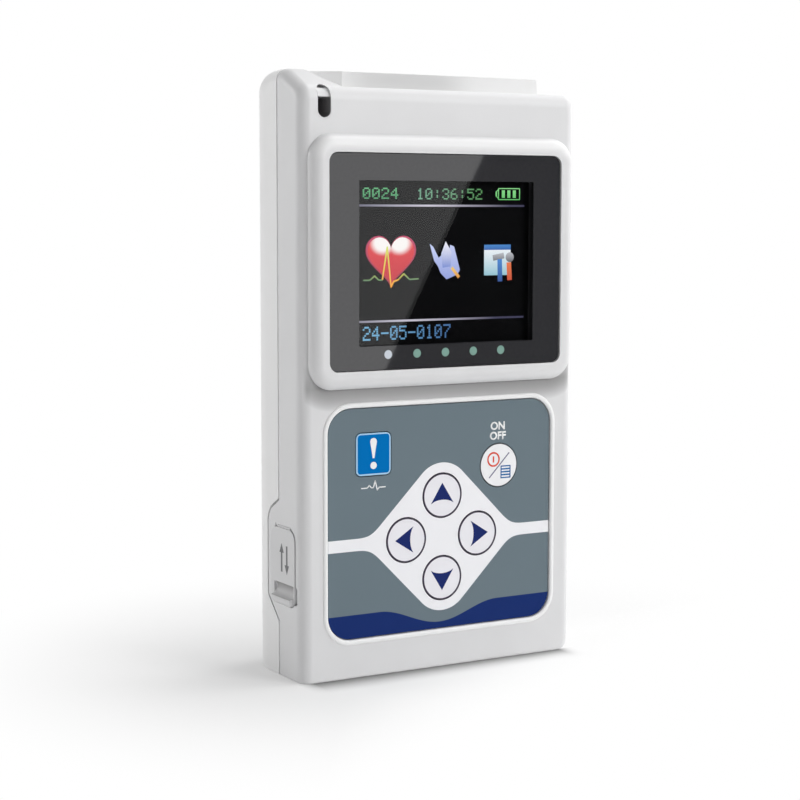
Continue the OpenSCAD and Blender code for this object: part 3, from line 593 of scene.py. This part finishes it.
class SolderMask(Finish):
    """Green circuit board: mask over copper tracks that run up and across."""

    green = paint(18, 92, 52)
    track = paint(44, 128, 74)
    track_half = 0.16
    row_gap = 0.9
    lane_gap = 1.3

    def lay(self, bench: Bench) -> None:
        """Lays the nodes."""
        x, _, z = bench.place()
        patch = bench.noise(7.0, 1.0)
        tracks: Wire | float = 0.0
        for along, gap, area in ((x, self.row_gap, 0.5 - patch), (z, self.lane_gap, patch - 0.5)):
            tracks = ((along.fold(gap) - self.track_half).inside(0.05) * area.inside(0.02)).most(tracks)
        bench.set(Base_Color=bench.mix(tracks, self.green, self.track), Roughness=0.35, Coat_Weight=0.3)
        bench.relief(tracks, 0.03, 0.5)


@dataclass(frozen=True)
class CellSleeve(Finish):
    """Shrink sleeve of a round cell: dark body, warm band at its plus end and bare metal tips."""

    low: float
    high: float
    plus_up: bool
    body = paint(44, 52, 62)
    band = paint(186, 118, 60)
    tip = (0.7, 0.7, 0.68)
    band_from = 0.7
    sleeve_from = 0.012
    sleeve_to = 0.955

    def lay(self, bench: Bench) -> None:
        """Lays the nodes."""
        _, _, z = bench.place()
        part = (z - self.low) / (self.high - self.low)
        along = part if self.plus_up else 1 - part
        colour = bench.mix((self.band_from - along).inside(0.004), self.body, self.band)
        wrap = bench.noise(3.0)
        tip = (self.sleeve_to - along).inside(0.002).most((along - self.sleeve_from).inside(0.002))
        bench.set(Base_Color=bench.mix(tip, colour, self.tip), Metallic=tip * 0.9,
                  Roughness=0.28 + wrap * 0.1)
        bench.relief(wrap, 0.05, 0.3)


class Felt(Finish):
    """Dull black felt of the dark card."""

    colour = (0.01, 0.01, 0.01)

    def lay(self, bench: Bench) -> None:
        """Lays the nodes."""
        bench.set(Base_Color=self.colour, Roughness=1.0)


class FloorPaper(Finish):
    """Pale paper that turns white away from the object for seen and mirrored rays, with a painted contact
    shadow in front of the foot.
    """

    pale = (0.92, 0.92, 0.92)
    # colour of the painted contact shadow in front of the foot
    dark = (0.08, 0.08, 0.08)
    foot = (26.5, 9.6)
    foot_r = 2.0
    contact = (-1.0, 8.0)
    fade = (20.0, 88.0)
    ahead = (0.5, -0.87)
    fade_ahead = (0.0, 32.0)
    lift = 0.25

    def lay(self, bench: Bench) -> None:
        """Lays the nodes, with plain white farther away."""
        seen, mirrored, _ = bench.rays()
        x, y, _ = bench.place()
        far = bench.ramp((x * x + y * y).root(), *self.fade, self.lift, 1.0, "SMOOTHSTEP")
        ahead = x * self.ahead[0] + y * self.ahead[1]
        ahead = bench.ramp(ahead, *self.fade_ahead, self.lift, 1.0, "SMOOTHSTEP")
        gap = bench.tablet(x, y, (0.0, 0.0), self.foot, self.foot_r)
        # painted contact shadow in front of the foot, seen by the camera only
        contact_shadow = bench.ramp(gap, *self.contact, 1.0, 0.0, "SMOOTHSTEP")
        contact_shadow = contact_shadow * (y + self.foot[1]).inside(1.0) * (abs(x) - self.foot[0]).inside(3.0) * seen
        bench.set(Base_Color=bench.mix(contact_shadow * 0.9, self.pale, self.dark), Roughness=0.9,
                  Specular_IOR_Level=0.0)
        glow = bench.node("Emission", {}, {"Color": WHITE, "Strength": 1.0})
        bench.blend(far.most(ahead) * seen.most(mirrored) * (1 - contact_shadow), None, glow)


# ---- makers


def add(name: str, data: ID) -> Object:
    """Adds an object to the scene."""
    made = bpy.data.objects.new(name, data)
    bpy.context.scene.collection.objects.link(made)
    return made


class Print:
    """Flat ink shapes, drawn as width and height in mm, that end up as one thin closed piece."""

    def __init__(self, name: str, at: float, origin: Point = (0.0, 0.0),
                 facing: Facing = Facing.FRONT) -> None:
        """Starts an empty print at a depth (front) or a place across (left side), drawn from an origin."""
        self.name = name
        self.at = at
        self.origin = origin
        self.facing = facing
        self.mesh = bmesh.new()

    def spot(self, point: Point) -> Vector:
        """A drawn point on the flat sheet."""
        return Vector((self.origin[0] + point[0], self.origin[1] + point[1], 0))

    def disc(self, centre: Point, radius: float, segments: int = 40) -> "Print":
        """Adds a filled circle."""
        bmesh.ops.create_circle(self.mesh, cap_ends=True, segments=segments, radius=radius,
                                matrix=Matrix.Translation(self.spot(centre)))
        return self

    def ring(self, centre: Point, outer: float, inner: float, segments: int = 48) -> "Print":
        """Adds a flat ring."""
        edges: list[BMEdge] = []
        for radius in (outer, inner):
            made = bmesh.ops.create_circle(self.mesh, segments=segments, radius=radius,
                                           matrix=Matrix.Translation(self.spot(centre)))
            edges += list({edge for vert in made["verts"] for edge in vert.link_edges})
        bmesh.ops.bridge_loops(self.mesh, edges=edges)
        return self

    def bar(self, start: Point, end: Point, width: float) -> "Print":
        """Adds a straight bar from one point to another."""
        a, b = self.spot(start), self.spot(end)
        turn = Matrix.Rotation(math.atan2(b.y - a.y, b.x - a.x), 4, "Z")
        size = Matrix.Diagonal(((b - a).length / 2, width / 2, 1, 1))
        bmesh.ops.create_grid(self.mesh, x_segments=1, y_segments=1, size=1,
                              matrix=Matrix.Translation((a + b) / 2) @ turn @ size)
        return self

    def box(self, low: Point, high: Point, width: float, over: float = 0.0) -> "Print":
        """Adds the outline of a rectangle, its level bars longer by over at both ends."""
        for h in (low[1], high[1]):
            self.bar((low[0] - over, h), (high[0] + over, h), width)
        for w in (low[0], high[0]):
            self.bar((w, low[1]), (w, high[1]), width)
        return self

    def path(self, points: list[Point], width: float) -> "Print":
        """Adds a line of one width through points, with round joints."""
        for start, end in zip(points, points[1:]):
            self.bar(start, end, width)
        for point in points[1:-1]:
            self.disc(point, width / 2, 10)
        return self

    def shape(self, points: list[Point]) -> "Print":
        """Adds a filled outline."""
        self.mesh.faces.new([self.mesh.verts.new(self.spot(point)) for point in points])
        return self

    def words(self, text: str, centre: Point, height: float) -> "Print":
        """Adds plain letters, centred."""
        curve = bpy.data.curves.new("letters", "FONT")
        curve.body = text
        curve.align_x = "CENTER"
        curve.align_y = "CENTER"
        curve.size = height / 0.7
        curve.resolution_u = 4
        curve.offset = 0.045 * height
        holder = add("letters", curve)
        bpy.context.view_layer.update()
        flat = bpy.data.meshes.new_from_object(holder.evaluated_get(bpy.context.evaluated_depsgraph_get()))
        flat.transform(Matrix.Translation(self.spot(centre)))
        self.mesh.from_mesh(flat)
        bpy.data.objects.remove(holder)
        bpy.data.meshes.remove(flat)
        return self

    def figures(self, text: str, corner: Point, pitch: Point, dot: float) -> "Print":
        """Adds figures made of square dots, as a small screen draws them.

        Their pitch is the step from figure to figure and from row to row of dots, dot that of the columns.
        """
        for place, sign in enumerate(text):
            left = corner[0] + place * pitch[0]
            for row, bits in enumerate(reversed(DOTS[sign].split())):
                z = corner[1] + (row + 0.5) * pitch[1]
                for run in re.finditer("1+", bits):
                    self.bar((left + run.start() * dot, z), (left + run.end() * dot, z), pitch[1] * 0.86)
        return self

    def finish(self, body: Body, material: Material) -> Object:
        """Gives the ink its thickness, sets it in place and lets it ride on a body."""
        bmesh.ops.recalc_face_normals(self.mesh, faces=self.mesh.faces)
        for face in self.mesh.faces:
            if face.normal.z < 0:
                face.normal_flip()
        sunk = bmesh.ops.extrude_face_region(self.mesh, geom=self.mesh.faces[:], use_keep_orig=True)
        verts = [item for item in sunk["geom"] if isinstance(item, BMVert)]
        bmesh.ops.translate(self.mesh, vec=(0, 0, -INK_THICK), verts=verts)
        bmesh.ops.recalc_face_normals(self.mesh, faces=self.mesh.faces)
        bmesh.ops.transform(self.mesh, matrix=self.facing.stand(self.at), verts=self.mesh.verts)
        return link(self.name, self.mesh, body, material)


DOTS = {
    "0": "01110 10001 10011 10101 11001 10001 01110",
    "1": "00100 01100 00100 00100 00100 00100 01110",
    "2": "01110 10001 00001 00110 01000 10000 11111",
    "3": "01110 10001 00001 00110 00001 10001 01110",
    "4": "00010 00110 01010 10010 11111 00010 00010",
    "5": "11111 10000 11110 00001 00001 10001 01110",
    "6": "00110 01000 10000 11110 10001 10001 01110",
    "7": "11111 00001 00010 00100 01000 01000 01000",
    ":": "00000 00100 00100 00000 00100 00100 00000",
    "-": "00000 00000 00000 11111 00000 00000 00000",
}


def stand(name: str, mesh: BMesh, material: Material) -> Object:
    """Turns a finished bmesh into an object of the scene."""
    data = bpy.data.meshes.new(name)
    mesh.to_mesh(data)
    mesh.free()
    data.materials.append(material)
    return add(name, data)


def link(name: str, mesh: BMesh, body: Body, material: Material) -> Object:
    """Turns a finished bmesh into a piece that rides on a body."""
    piece = stand(name, mesh, material)
    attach(piece, body.value)
    log.info("%s: %d faces on %s", name, len(piece.data.polygons), body.value)
    return piece


def dress(node: str, material: Material) -> None:
    """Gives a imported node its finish."""
    for place in frame["nodes"][node].material_slots:
        place.material = material
    log.info("%s: dressed with %s", node, material.name)


def skin(node: str, body: Body, material: Material, crease: float = 22.0) -> Object:
    """Stands a merged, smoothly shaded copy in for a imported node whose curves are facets.

    Edges that turn by more than crease degrees stay sharp.
    """
    mesh = bmesh.new()
    mesh.from_mesh(frame["nodes"][node].data)
    bmesh.ops.remove_doubles(mesh, verts=mesh.verts, dist=2e-6)
    bmesh.ops.dissolve_limit(mesh, angle_limit=math.radians(0.06), verts=mesh.verts, edges=mesh.edges,
                             use_dissolve_boundaries=False)
    for face in mesh.faces:
        face.smooth = True
    for edge in mesh.edges:
        edge.smooth = len(edge.link_faces) == 2 and edge.calc_face_angle(0.0) < math.radians(crease)
    piece = link(node + "_skin", mesh, body, material)
    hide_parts(node)
    even = piece.modifiers.new("even", "WEIGHTED_NORMAL")
    even.mode = "FACE_AREA"
    even.keep_sharp = True
    return piece


# ---- sub-assemblies


class Housing:
    """The two shells, the lip round the film, the battery door and the port cover with its faint mark."""

    white = paint(232, 232, 233)
    # lighter copy of the case white: painted light on the rear case and battery door
    back_lit_white = paint(249, 249, 249)
    # lighter copy of the case white: painted highlight on the keypad lip
    lip_lit_white = paint(250, 250, 250)
    # darker copy of the case white: painted shade on the port cover
    cover_shaded_white = paint(224, 224, 225)
    faint = paint(132, 132, 134)
    mark = (4.3, 20.6)
    mark_at = -27.71
    arrow_gap = 0.95
    arrow_w = 0.8
    pad_half = (22.4, 19.6)
    pad_mid = 26.5
    pad_r = 4.2
    lip_out = 1.05
    lip_w = 0.88
    lip_h = 0.64
    lip_round = 0.42
    lip_foot = -9.98

    def build(self) -> None:
        """Dresses the shells, lays the lip and prints the cover's mark."""
        front = ShellPlastic(self.white).material("shell_white")
        back = Moulding(self.back_lit_white).material("back_lit_white")
        cover = CoverPlastic(self.cover_shaded_white).material("cover_shaded_white")
        for node, body, shell in (("front_case", Body.CASE, front), ("rear_case", Body.CASE, back),
                                  ("battery_door", Body.DOOR, back), ("usb_cover", Body.COVER, cover)):
            skin(node, body, shell)
        self.lip(Moulding(self.lip_lit_white, drift=0.0).material("lip_lit_white"))
        self.cover_mark(Ink(self.faint).material("faint_ink"))

    def lip(self, shell: Material) -> None:
        """Raised rounded lip of the front case round the keypad film."""
        def on_rim(edge: BMEdge) -> bool:
            """Whether an edge bounds the raised top."""
            level = {round(face.normal.z, 1) for face in edge.link_faces}
            return all(vert.co.z > self.lip_h / 2 for vert in edge.verts) and len(level) == 2

        mesh = bmesh.new()
        half = Matrix.Diagonal((self.pad_half[0] + self.lip_out, self.pad_half[1] + self.lip_out, 1, 1))
        bmesh.ops.create_grid(mesh, x_segments=1, y_segments=1, size=1,
                              matrix=Matrix.Translation((0, self.pad_mid, 0)) @ half)
        bmesh.ops.bevel(mesh, geom=mesh.verts[:], offset=self.pad_r + self.lip_out, segments=16,
                        affect="VERTICES", profile=0.5, material=-1)
        middle = mesh.faces[:]
        band = bmesh.ops.inset_region(mesh, faces=middle, thickness=self.lip_w, use_boundary=True,
                                      use_even_offset=True)["faces"]
        bmesh.ops.delete(mesh, geom=middle, context="FACES")
        raised = bmesh.ops.extrude_face_region(mesh, geom=band)
        verts = [item for item in raised["geom"] if isinstance(item, BMVert)]
        bmesh.ops.translate(mesh, vec=(0, 0, self.lip_h), verts=verts)
        rim = [edge for edge in mesh.edges if on_rim(edge)]
        bmesh.ops.bevel(mesh, geom=rim, offset=self.lip_w * self.lip_round, segments=5, affect="EDGES",
                        profile=0.5, material=-1)
        bmesh.ops.recalc_face_normals(mesh, faces=mesh.faces)
        for face in mesh.faces:
            face.smooth = True
        bmesh.ops.transform(mesh, matrix=Facing.FRONT.stand(self.lip_foot), verts=mesh.verts)
        link("keypad_lip", mesh, Body.CASE, shell)

    def cover_mark(self, ink: Material) -> None:
        """Two opposite arrows, the plain sign for data in and out."""
        mark = Print("cover_mark", self.mark_at, self.mark, Facing.LEFT)
        for u, way in ((-self.arrow_gap, 1), (self.arrow_gap, -1)):
            mark.bar((u, -2.3 * way), (u, 1.1 * way), 0.55)
            mark.shape([(u - self.arrow_w, way), (u + self.arrow_w, way), (u, 2.6 * way)])
        mark.finish(Body.COVER, ink)


class Keypad:
    """Printed film, the six keys and what is printed on and beside them."""

    face = -10.26
    film = -10.21
    power = (11.65, 34.7)
    arrow_tip = 2.2
    arrow_tail = 1.43
    arrow_half = 2.3
    arrow_notch = 0.78
    arrow_steps = 8
    drop = ((0.0, 2.75), (0.34, 2.68), (0.56, 2.46), (0.64, 2.15), (0.6, 1.8), (0.46, 1.1), (0.3, 0.2),
            (0.17, -0.7))
    beat = ((-2.4, -0.35), (-1.2, -0.35), (-0.8, 0.1), (-0.4, -0.35), (0.0, -0.35), (0.35, 0.85),
            (0.75, -0.8), (1.1, -0.35), (2.4, -0.35))

    def build(self) -> None:
        """Dresses the film and the keys and prints all signs."""
        dress("keypad_overlay", KeypadFilm().material("keypad_print"))
        navy = Ink(paint(28, 44, 108)).material("navy_ink")
        white = Ink(WHITE).material("white_ink")
        ways = (("key_up", Body.UP, (0, 1)), ("key_down", Body.DOWN, (0, -1)),
                ("key_left", Body.LEFT, (-1, 0)), ("key_right", Body.RIGHT, (1, 0)))
        for node, body, way in ways:
            centre = (CLUSTER[0] + way[0] * SPREAD, CLUSTER[1] + way[1] * SPREAD)
            cap = KeyCap(centre=centre).material(node + "_cap")
            skin(node, body, cap)
            arrow = Print(node + "_arrow", self.face, centre).shape(self.arrow(way))
            arrow.finish(body, navy)
        skin("mark_key", Body.MARK, SquareCap().material("mark_cap"))
        self.exclamation(white)
        # the power key's side in a lighter painted shade
        cap = KeyCap(centre=self.power, colour=paint(250, 250, 252), side=paint(150, 152, 158), rim=3.72)
        skin("power_key", Body.POWER, cap.material("power_cap"))
        self.power_signs()
        self.labels(white)

    def arrow(self, way: Point) -> list[Point]:
        """Outline of an arrowhead with a hollow back, its tip in the given direction."""
        points = [(self.arrow_tip, 0.0), (-self.arrow_tail, self.arrow_half)]
        for i in range(1, self.arrow_steps):
            t = i / self.arrow_steps * 2 - 1
            dip = (self.arrow_tail - self.arrow_notch) * (1 - t * t) ** 0.8
            points.append((-self.arrow_tail + dip, -t * self.arrow_half))
        points.append((-self.arrow_tail, -self.arrow_half))
        return [(way[0] * a - way[1] * b, way[1] * a + way[0] * b) for a, b in points]

    def exclamation(self, ink: Material) -> None:
        """Attention sign on the square key: a drop over a dot."""
        left = [(-w, h) for w, h in self.drop]
        sign = Print("attention_sign", self.face, SQUARE).shape(left + list(reversed(self.drop[1:])))
        sign.disc((0.0, -1.95), 0.62).finish(Body.MARK, ink)

    def power_signs(self) -> None:
        """Red standby sign, slash and blue list sign on the power key."""
        standby, slash, sheet = (Print(name, self.face, self.power)
                                 for name in ("standby_sign", "slash_sign", "list_sign"))
        standby.ring((-1.1, 1.05), 1.32, 1.02).bar((-1.1, 0.5), (-1.1, 1.6), 0.3)
        slash.bar((-2.0, -2.2), (2.2, 2.1), 0.2)
        (left, low), (right, high) = (0.5, -2.3), (2.4, -0.25)
        sheet.box((left, low), (right, high), 0.22, 0.1)
        for i in range(1, 4):
            h = low + (high - low) * i / 4
            sheet.bar((left + 0.1, h), (right - 0.1, h), 0.26)
        inks = (("red_ink", (226, 84, 62)), ("violet_ink", (112, 108, 136)), ("blue_ink", (40, 106, 170)))
        for sign, (name, colour) in zip((standby, slash, sheet), inks):
            sign.finish(Body.POWER, Ink(paint(*colour)).material(name))

    def labels(self, ink: Material) -> None:
        """Plain signs on the film: a pulse line below the square key, ON and OFF above the round one."""
        line = Print("pulse_label", self.film, (SQUARE[0], SQUARE[1] - 5.4)).path(list(self.beat), 0.2)
        line.finish(Body.CASE, ink)
        label = Print("switch_label", self.film, self.power)
        label.words("ON", (-0.2, 6.9), 1.35).words("OFF", (-0.2, 5.15), 1.35)
        label.finish(Body.CASE, ink)


class Screen:
    """Window, screen and what is lit on it."""

    at = -10.33
    ahead = 0.02
    top_rule = 80.11
    low_rule = 60.71
    heart = (-10.35, 70.55)
    heart_half = 4.55
    heart_lift = 0.85
    book = (0.45, 70.75)
    tools = (11.3, 70.6)

    def build(self) -> None:
        """Dresses the window and draws the screen."""
        skin("display_window", Body.CASE, Pane().material("window_pane"))
        black = Moulding(paint(10, 10, 12), 0.6, 0.4, 0.001, 0.0, 0.02)
        dress("display_module", black.material("screen_black"))
        dress("window_gasket", Moulding(paint(24, 24, 24), 0.8).material("gasket_foam"))
        dress("indicator_pipes", LampPlastic().material("lamp_pipes"))
        self.top_row()
        self.rules()
        self.heart_icon()
        self.book_icon()
        self.tool_icon()
        self.low_row()

    def sign(self, name: str, origin: Point = (0.0, 0.0), layers: float = 0.0) -> Print:
        """Starts a drawing on the screen, some layers of ink in front of it."""
        return Print(name, self.at - layers * self.ahead, origin)

    def lit(self, drawing: Print, glow: LitInk) -> None:
        """Finishes a drawing as lit screen ink."""
        drawing.finish(Body.CASE, glow.material(drawing.name + "_ink"))

    def fade(self, drawing: Print, low: Shade, high: Shade, span: Point, across: bool = False) -> None:
        """Lights a drawing with a fade between two screen colours, over a span from its origin."""
        start = drawing.origin[0 if across else 1]
        self.lit(drawing, Fade(paint(*low), paint(*high), (start + span[0], start + span[1]), across))

    def top_row(self) -> None:
        """Count, clock and battery sign."""
        count = self.sign("count_figures").figures("0024", (-15.8, 81.2), (1.8, 0.27), 0.29)
        self.fade(count, (60, 150, 96), (96, 188, 124), (81.1, 83.0))
        clock = self.sign("clock_figures").figures("10:36:52", (-5.3, 81.15), (1.68, 0.27), 0.275)
        self.fade(clock, (110, 170, 140), (80, 150, 80), (-5.0, 8.0), True)
        wide, high, nose = 4.4, 1.9, -0.45
        cell = self.sign("battery_sign", (11.2, 81.2)).box((0.0, 0.0), (wide, high), 0.16)
        cell.bar((nose, 0.55), (nose, high - 0.55), 0.3)
        cell.bar((nose, 0.55), (0.0, 0.2), 0.14).bar((nose, high - 0.55), (0.0, high - 0.2), 0.14)
        for i in range(3):
            w = 1.0 + i * 1.15
            cell.bar((w, 0.3), (w, high - 0.3), 0.62)
        self.fade(cell, (96, 200, 104), (140, 226, 140), (0.0, high))

    def rules(self) -> None:
        """Hairlines under the top row and over the low row."""
        for name, z, middle in (("top_rule", self.top_rule, -3.0), ("low_rule", self.low_rule, -6.0)):
            self.lit(self.sign(name, (0.0, z)).bar((-16.5, 0.0), (16.6, 0.0), 0.34), RuleGlow(middle))

    def heart_icon(self) -> None:
        """Heart with a dark rim and a pulse line across it."""
        x, z = self.heart
        turns = [math.tau * i / 48 for i in range(48)]
        curve = [(math.sin(t) ** 3,
                  (13 * math.cos(t) - 5 * math.cos(2 * t) - 2 * math.cos(3 * t) - math.cos(4 * t)) / 16)
                 for t in reversed(turns)]
        rim = Fade(paint(150, 22, 58), paint(196, 52, 96), (z - 4.0, z + 4.5))
        face = HeartGlow((x, z + 0.95), self.heart_half)
        for name, layers, grow, glow in (("heart_rim", -0.5, 1.08, rim), ("heart_sign", 0.0, 1.0, face)):
            half = self.heart_half * grow
            outline = [(half * u, self.heart_lift + half * v) for u, v in curve]
            self.lit(self.sign(name, self.heart, layers).shape(outline), glow)
        beat = [(-5.4, -2.9), (-4.1, -2.9), (-3.2, -2.2), (-2.4, -2.9), (-1.7, -2.9), (-0.75, 2.6),
                (0.0, -4.1), (0.5, -3.2), (1.4, -2.9), (2.5, -1.9), (3.6, -2.9), (5.4, -2.8)]
        ends = self.sign("pulse_ends", self.heart, 1).path(beat[:5], 0.24)
        for start, end in zip(beat[8:], beat[9:]):
            ends.bar(start, end, 0.24)
        self.fade(ends, (96, 140, 96), (176, 190, 84), (-3.0, -1.8))
        peak = self.sign("pulse_line", self.heart, 1).path(beat[4:10], 0.27)
        self.fade(peak, (250, 170, 40), (214, 226, 90), (-4.0, 2.6))

    def book_icon(self) -> None:
        """Open folder with a sheet in it and a pencil before it."""
        back = [(-3.2, 2.9), (-2.3, 0.0), (-1.5, -1.0), (-1.0, -2.1), (0.2, -3.2), (2.4, -2.4), (2.9, -1.6),
                (1.7, 2.4), (0.9, 2.7), (0.7, 1.2), (-0.9, 0.9), (-1.4, 0.5), (-2.5, 2.4)]
        sheet = [(-0.9, 1.2), (-0.6, -1.2), (1.0, -1.0), (1.2, 1.4), (0.0, 3.3)]
        self.fade(self.sign("folder_sign", self.book).shape(back),
                  (150, 164, 226), (196, 206, 246), (-3.0, 2.4))
        self.fade(self.sign("sheet_sign", self.book, 1).shape(sheet),
                  (120, 142, 214), (240, 240, 252), (-1.2, 2.8))
        self.fade(self.sign("pencil_sign", self.book, 2).bar((1.2, -1.2), (2.7, -2.9), 0.55),
                  (232, 150, 50), (250, 206, 110), (-3.0, -1.2))

    def tool_icon(self) -> None:
        """Page with a title bar, a hammer and a driver."""
        page = [(-3.0, -2.5), (2.5, -2.5), (2.5, 2.5), (-3.0, 2.5)]
        self.fade(self.sign("page_sign", self.tools).shape(page),
                  (150, 200, 214), (240, 246, 250), (-2.5, 1.8))
        title = self.sign("title_sign", self.tools, 1).bar((-3.0, 2.35), (2.5, 2.35), 0.9)
        self.fade(title, (28, 92, 172), (60, 134, 206), (1.9, 2.8))
        heads = self.sign("tool_heads", self.tools, 1.5).bar((-1.2, 0.5), (1.1, 0.9), 1.0)
        self.fade(heads.disc((2.3, 0.6), 0.85, 20), (96, 98, 104), (190, 192, 198), (-0.2, 1.4))
        handles = (("hammer_handle", (0.2, 0.3), (0.3, -3.6), (24, 74, 150), (60, 130, 206), (-3.6, 0.0)),
                   ("driver_handle", (2.1, -0.3), (2.3, -3.4), (206, 72, 34), (240, 120, 64), (-3.4, -0.4)))
        for name, start, end, low, high, span in handles:
            self.fade(self.sign(name, self.tools, 2).bar(start, end, 0.95), low, high, span)

    def low_row(self) -> None:
        """Row of plain figures along the foot of the screen."""
        date = self.sign("date_figures").figures("24-05-0107", (-15.8, 57.5), (1.76, 0.34), 0.29)
        self.fade(date, (110, 178, 216), (52, 104, 160), (-15.0, 0.5), True)


class Inside:
    """What sits within the case and in the wells of the back."""

    def build(self) -> None:
        """Dresses every inner node."""
        groups = (
            ("black_plastic", Moulding(paint(30, 30, 32), 0.6),
             "display_carrier beeper processor_chip memory_chip patient_socket"),
            ("nickel_plate", Metal(paint(190, 190, 186), 0.28), "battery_contacts battery_springs"),
            ("zinc_plate", Metal(paint(176, 178, 182), 0.36, (8.0, 1.0, 1.0)),
             "amplifier_shield usb_socket key_switches board_screws case_screws"),
            ("clock_steel", Metal(paint(206, 206, 206), 0.18, (1.0, 8.0, 1.0)), "clock_cell"),
            ("gold_plate", Metal(paint(214, 178, 96), 0.25), "patient_socket_pins"),
            ("board_green", SolderMask(), "main_board"),
            ("amber_film", Moulding(paint(196, 136, 60), 0.3, 0.4, 0.004, 0.06), "display_ribbon"),
            ("lamp_resin", Moulding(paint(236, 232, 200), 0.2), "indicator_leds"),
            ("left_sleeve", CellSleeve(10.2, 60.4, True), "cell_left"),
            ("right_sleeve", CellSleeve(6.8, 57.0, False), "cell_right"))
        for name, finish, nodes in groups:
            material = finish.material(name)
            for node in nodes.split():
                dress(node, material)


# ---- studio


class Studio:
    """Pale floor, lamps, world and camera; places in metres, angles in degrees."""

    eye = (-0.16975, -0.28505, 0.07915)
    yaw = -30.4
    pitch = -5.726
    roll = 0.073
    lens = 84.69
    ambient = (0.226, 0.226, 0.226)
    floor_half = 6.0
    aim = (0.0, 0.0, 0.05)
    lamps = (("top_panel", (0.75, 0.0, 1.0), 1.0, 10.8), ("front_panel", (0.55, -1.0, 0.55), 0.5, 5.85),
             ("side_panel", (-0.85, 0.75, 0.35), 0.5, 3.95))
    card = ((0.2068, -0.41, -0.005), (0.2543, -0.3844, 0.1135), (0.2543, -0.3844, 0.16), (0.42, -0.29, 0.16),
            (0.42, -0.29, -0.005))

    def build(self) -> None:
        """Sets up everything that isn't part of the object."""
        self.camera()
        self.floor()
        self.dark_card()
        self.world()
        for name, place, size, power in self.lamps:
            self.lamp(name, place, size, power)
        bpy.context.scene.view_settings.view_transform = "Standard"

    def camera(self) -> None:
        """Camera at the photograph's viewing angle."""
        data = bpy.data.cameras.new("camera")
        data.sensor_width = 36
        data.lens = self.lens
        data.clip_start = 0.01
        holder = add("camera", data)
        yaw, pitch, roll = (math.radians(a) for a in (self.yaw, self.pitch + 90, self.roll))
        holder.matrix_world = (Matrix.Translation(self.eye) @ Matrix.Rotation(yaw, 4, "Z")
                               @ Matrix.Rotation(pitch, 4, "X") @ Matrix.Rotation(roll, 4, "Z"))
        bpy.context.scene.camera = holder

    def floor(self) -> None:
        """Wide pale floor."""
        mesh = bmesh.new()
        bmesh.ops.create_grid(mesh, x_segments=1, y_segments=1, size=self.floor_half)
        ground = stand("floor", mesh, FloorPaper().material("floor_paper"))

    def dark_card(self) -> None:
        """Dark card whose slanted edge the window mirrors; only mirrored rays see it."""
        mesh = bmesh.new()
        mesh.faces.new([mesh.verts.new(corner) for corner in self.card])
        card = stand("dark_card", mesh, Felt().material("dark_felt"))
        for rays in ("camera", "diffuse", "transmission", "shadow"):
            setattr(card, "visible_" + rays, False)

    def world(self) -> None:
        """White for the camera and for mirrored or refracted rays, softer for the light itself."""
        world = bpy.data.worlds.new("studio")
        bpy.context.scene.world = world
        bench = Bench(world)
        seen, mirrored, through = bench.rays()
        bench.set(Color=bench.mix(seen.most(mirrored.most(through)), self.ambient, WHITE))

    def lamp(self, name: str, place: Place, size: float, power: float) -> None:
        """Soft square lamp that looks at the object."""
        data = bpy.data.lights.new(name, "AREA")
        data.size = size
        data.energy = power
        holder = add(name, data)
        holder.location = place
        holder.rotation_euler = (Vector(self.aim) - Vector(place)).to_track_quat("-Z", "Y").to_euler()


def clear_leftovers() -> None:
    """Removes what a new Blender file brings along."""
    kept = set(frame["nodes"].values()) | set(frame["bodies"].values())
    for item in list(bpy.data.objects):
        if item not in kept:
            bpy.data.objects.remove(item)


def main() -> None:
    """Builds the sub-assemblies in order."""
    logging.basicConfig(level=logging.INFO, format="%(message)s")
    clear_leftovers()
    bpy.context.view_layer.update()
    for part in (Housing(), Keypad(), Screen(), Inside(), Studio()):
        part.build()
        log.info("%s done", type(part).__name__)
    bpy.context.view_layer.update()


if __name__ == "__main__":
    main()
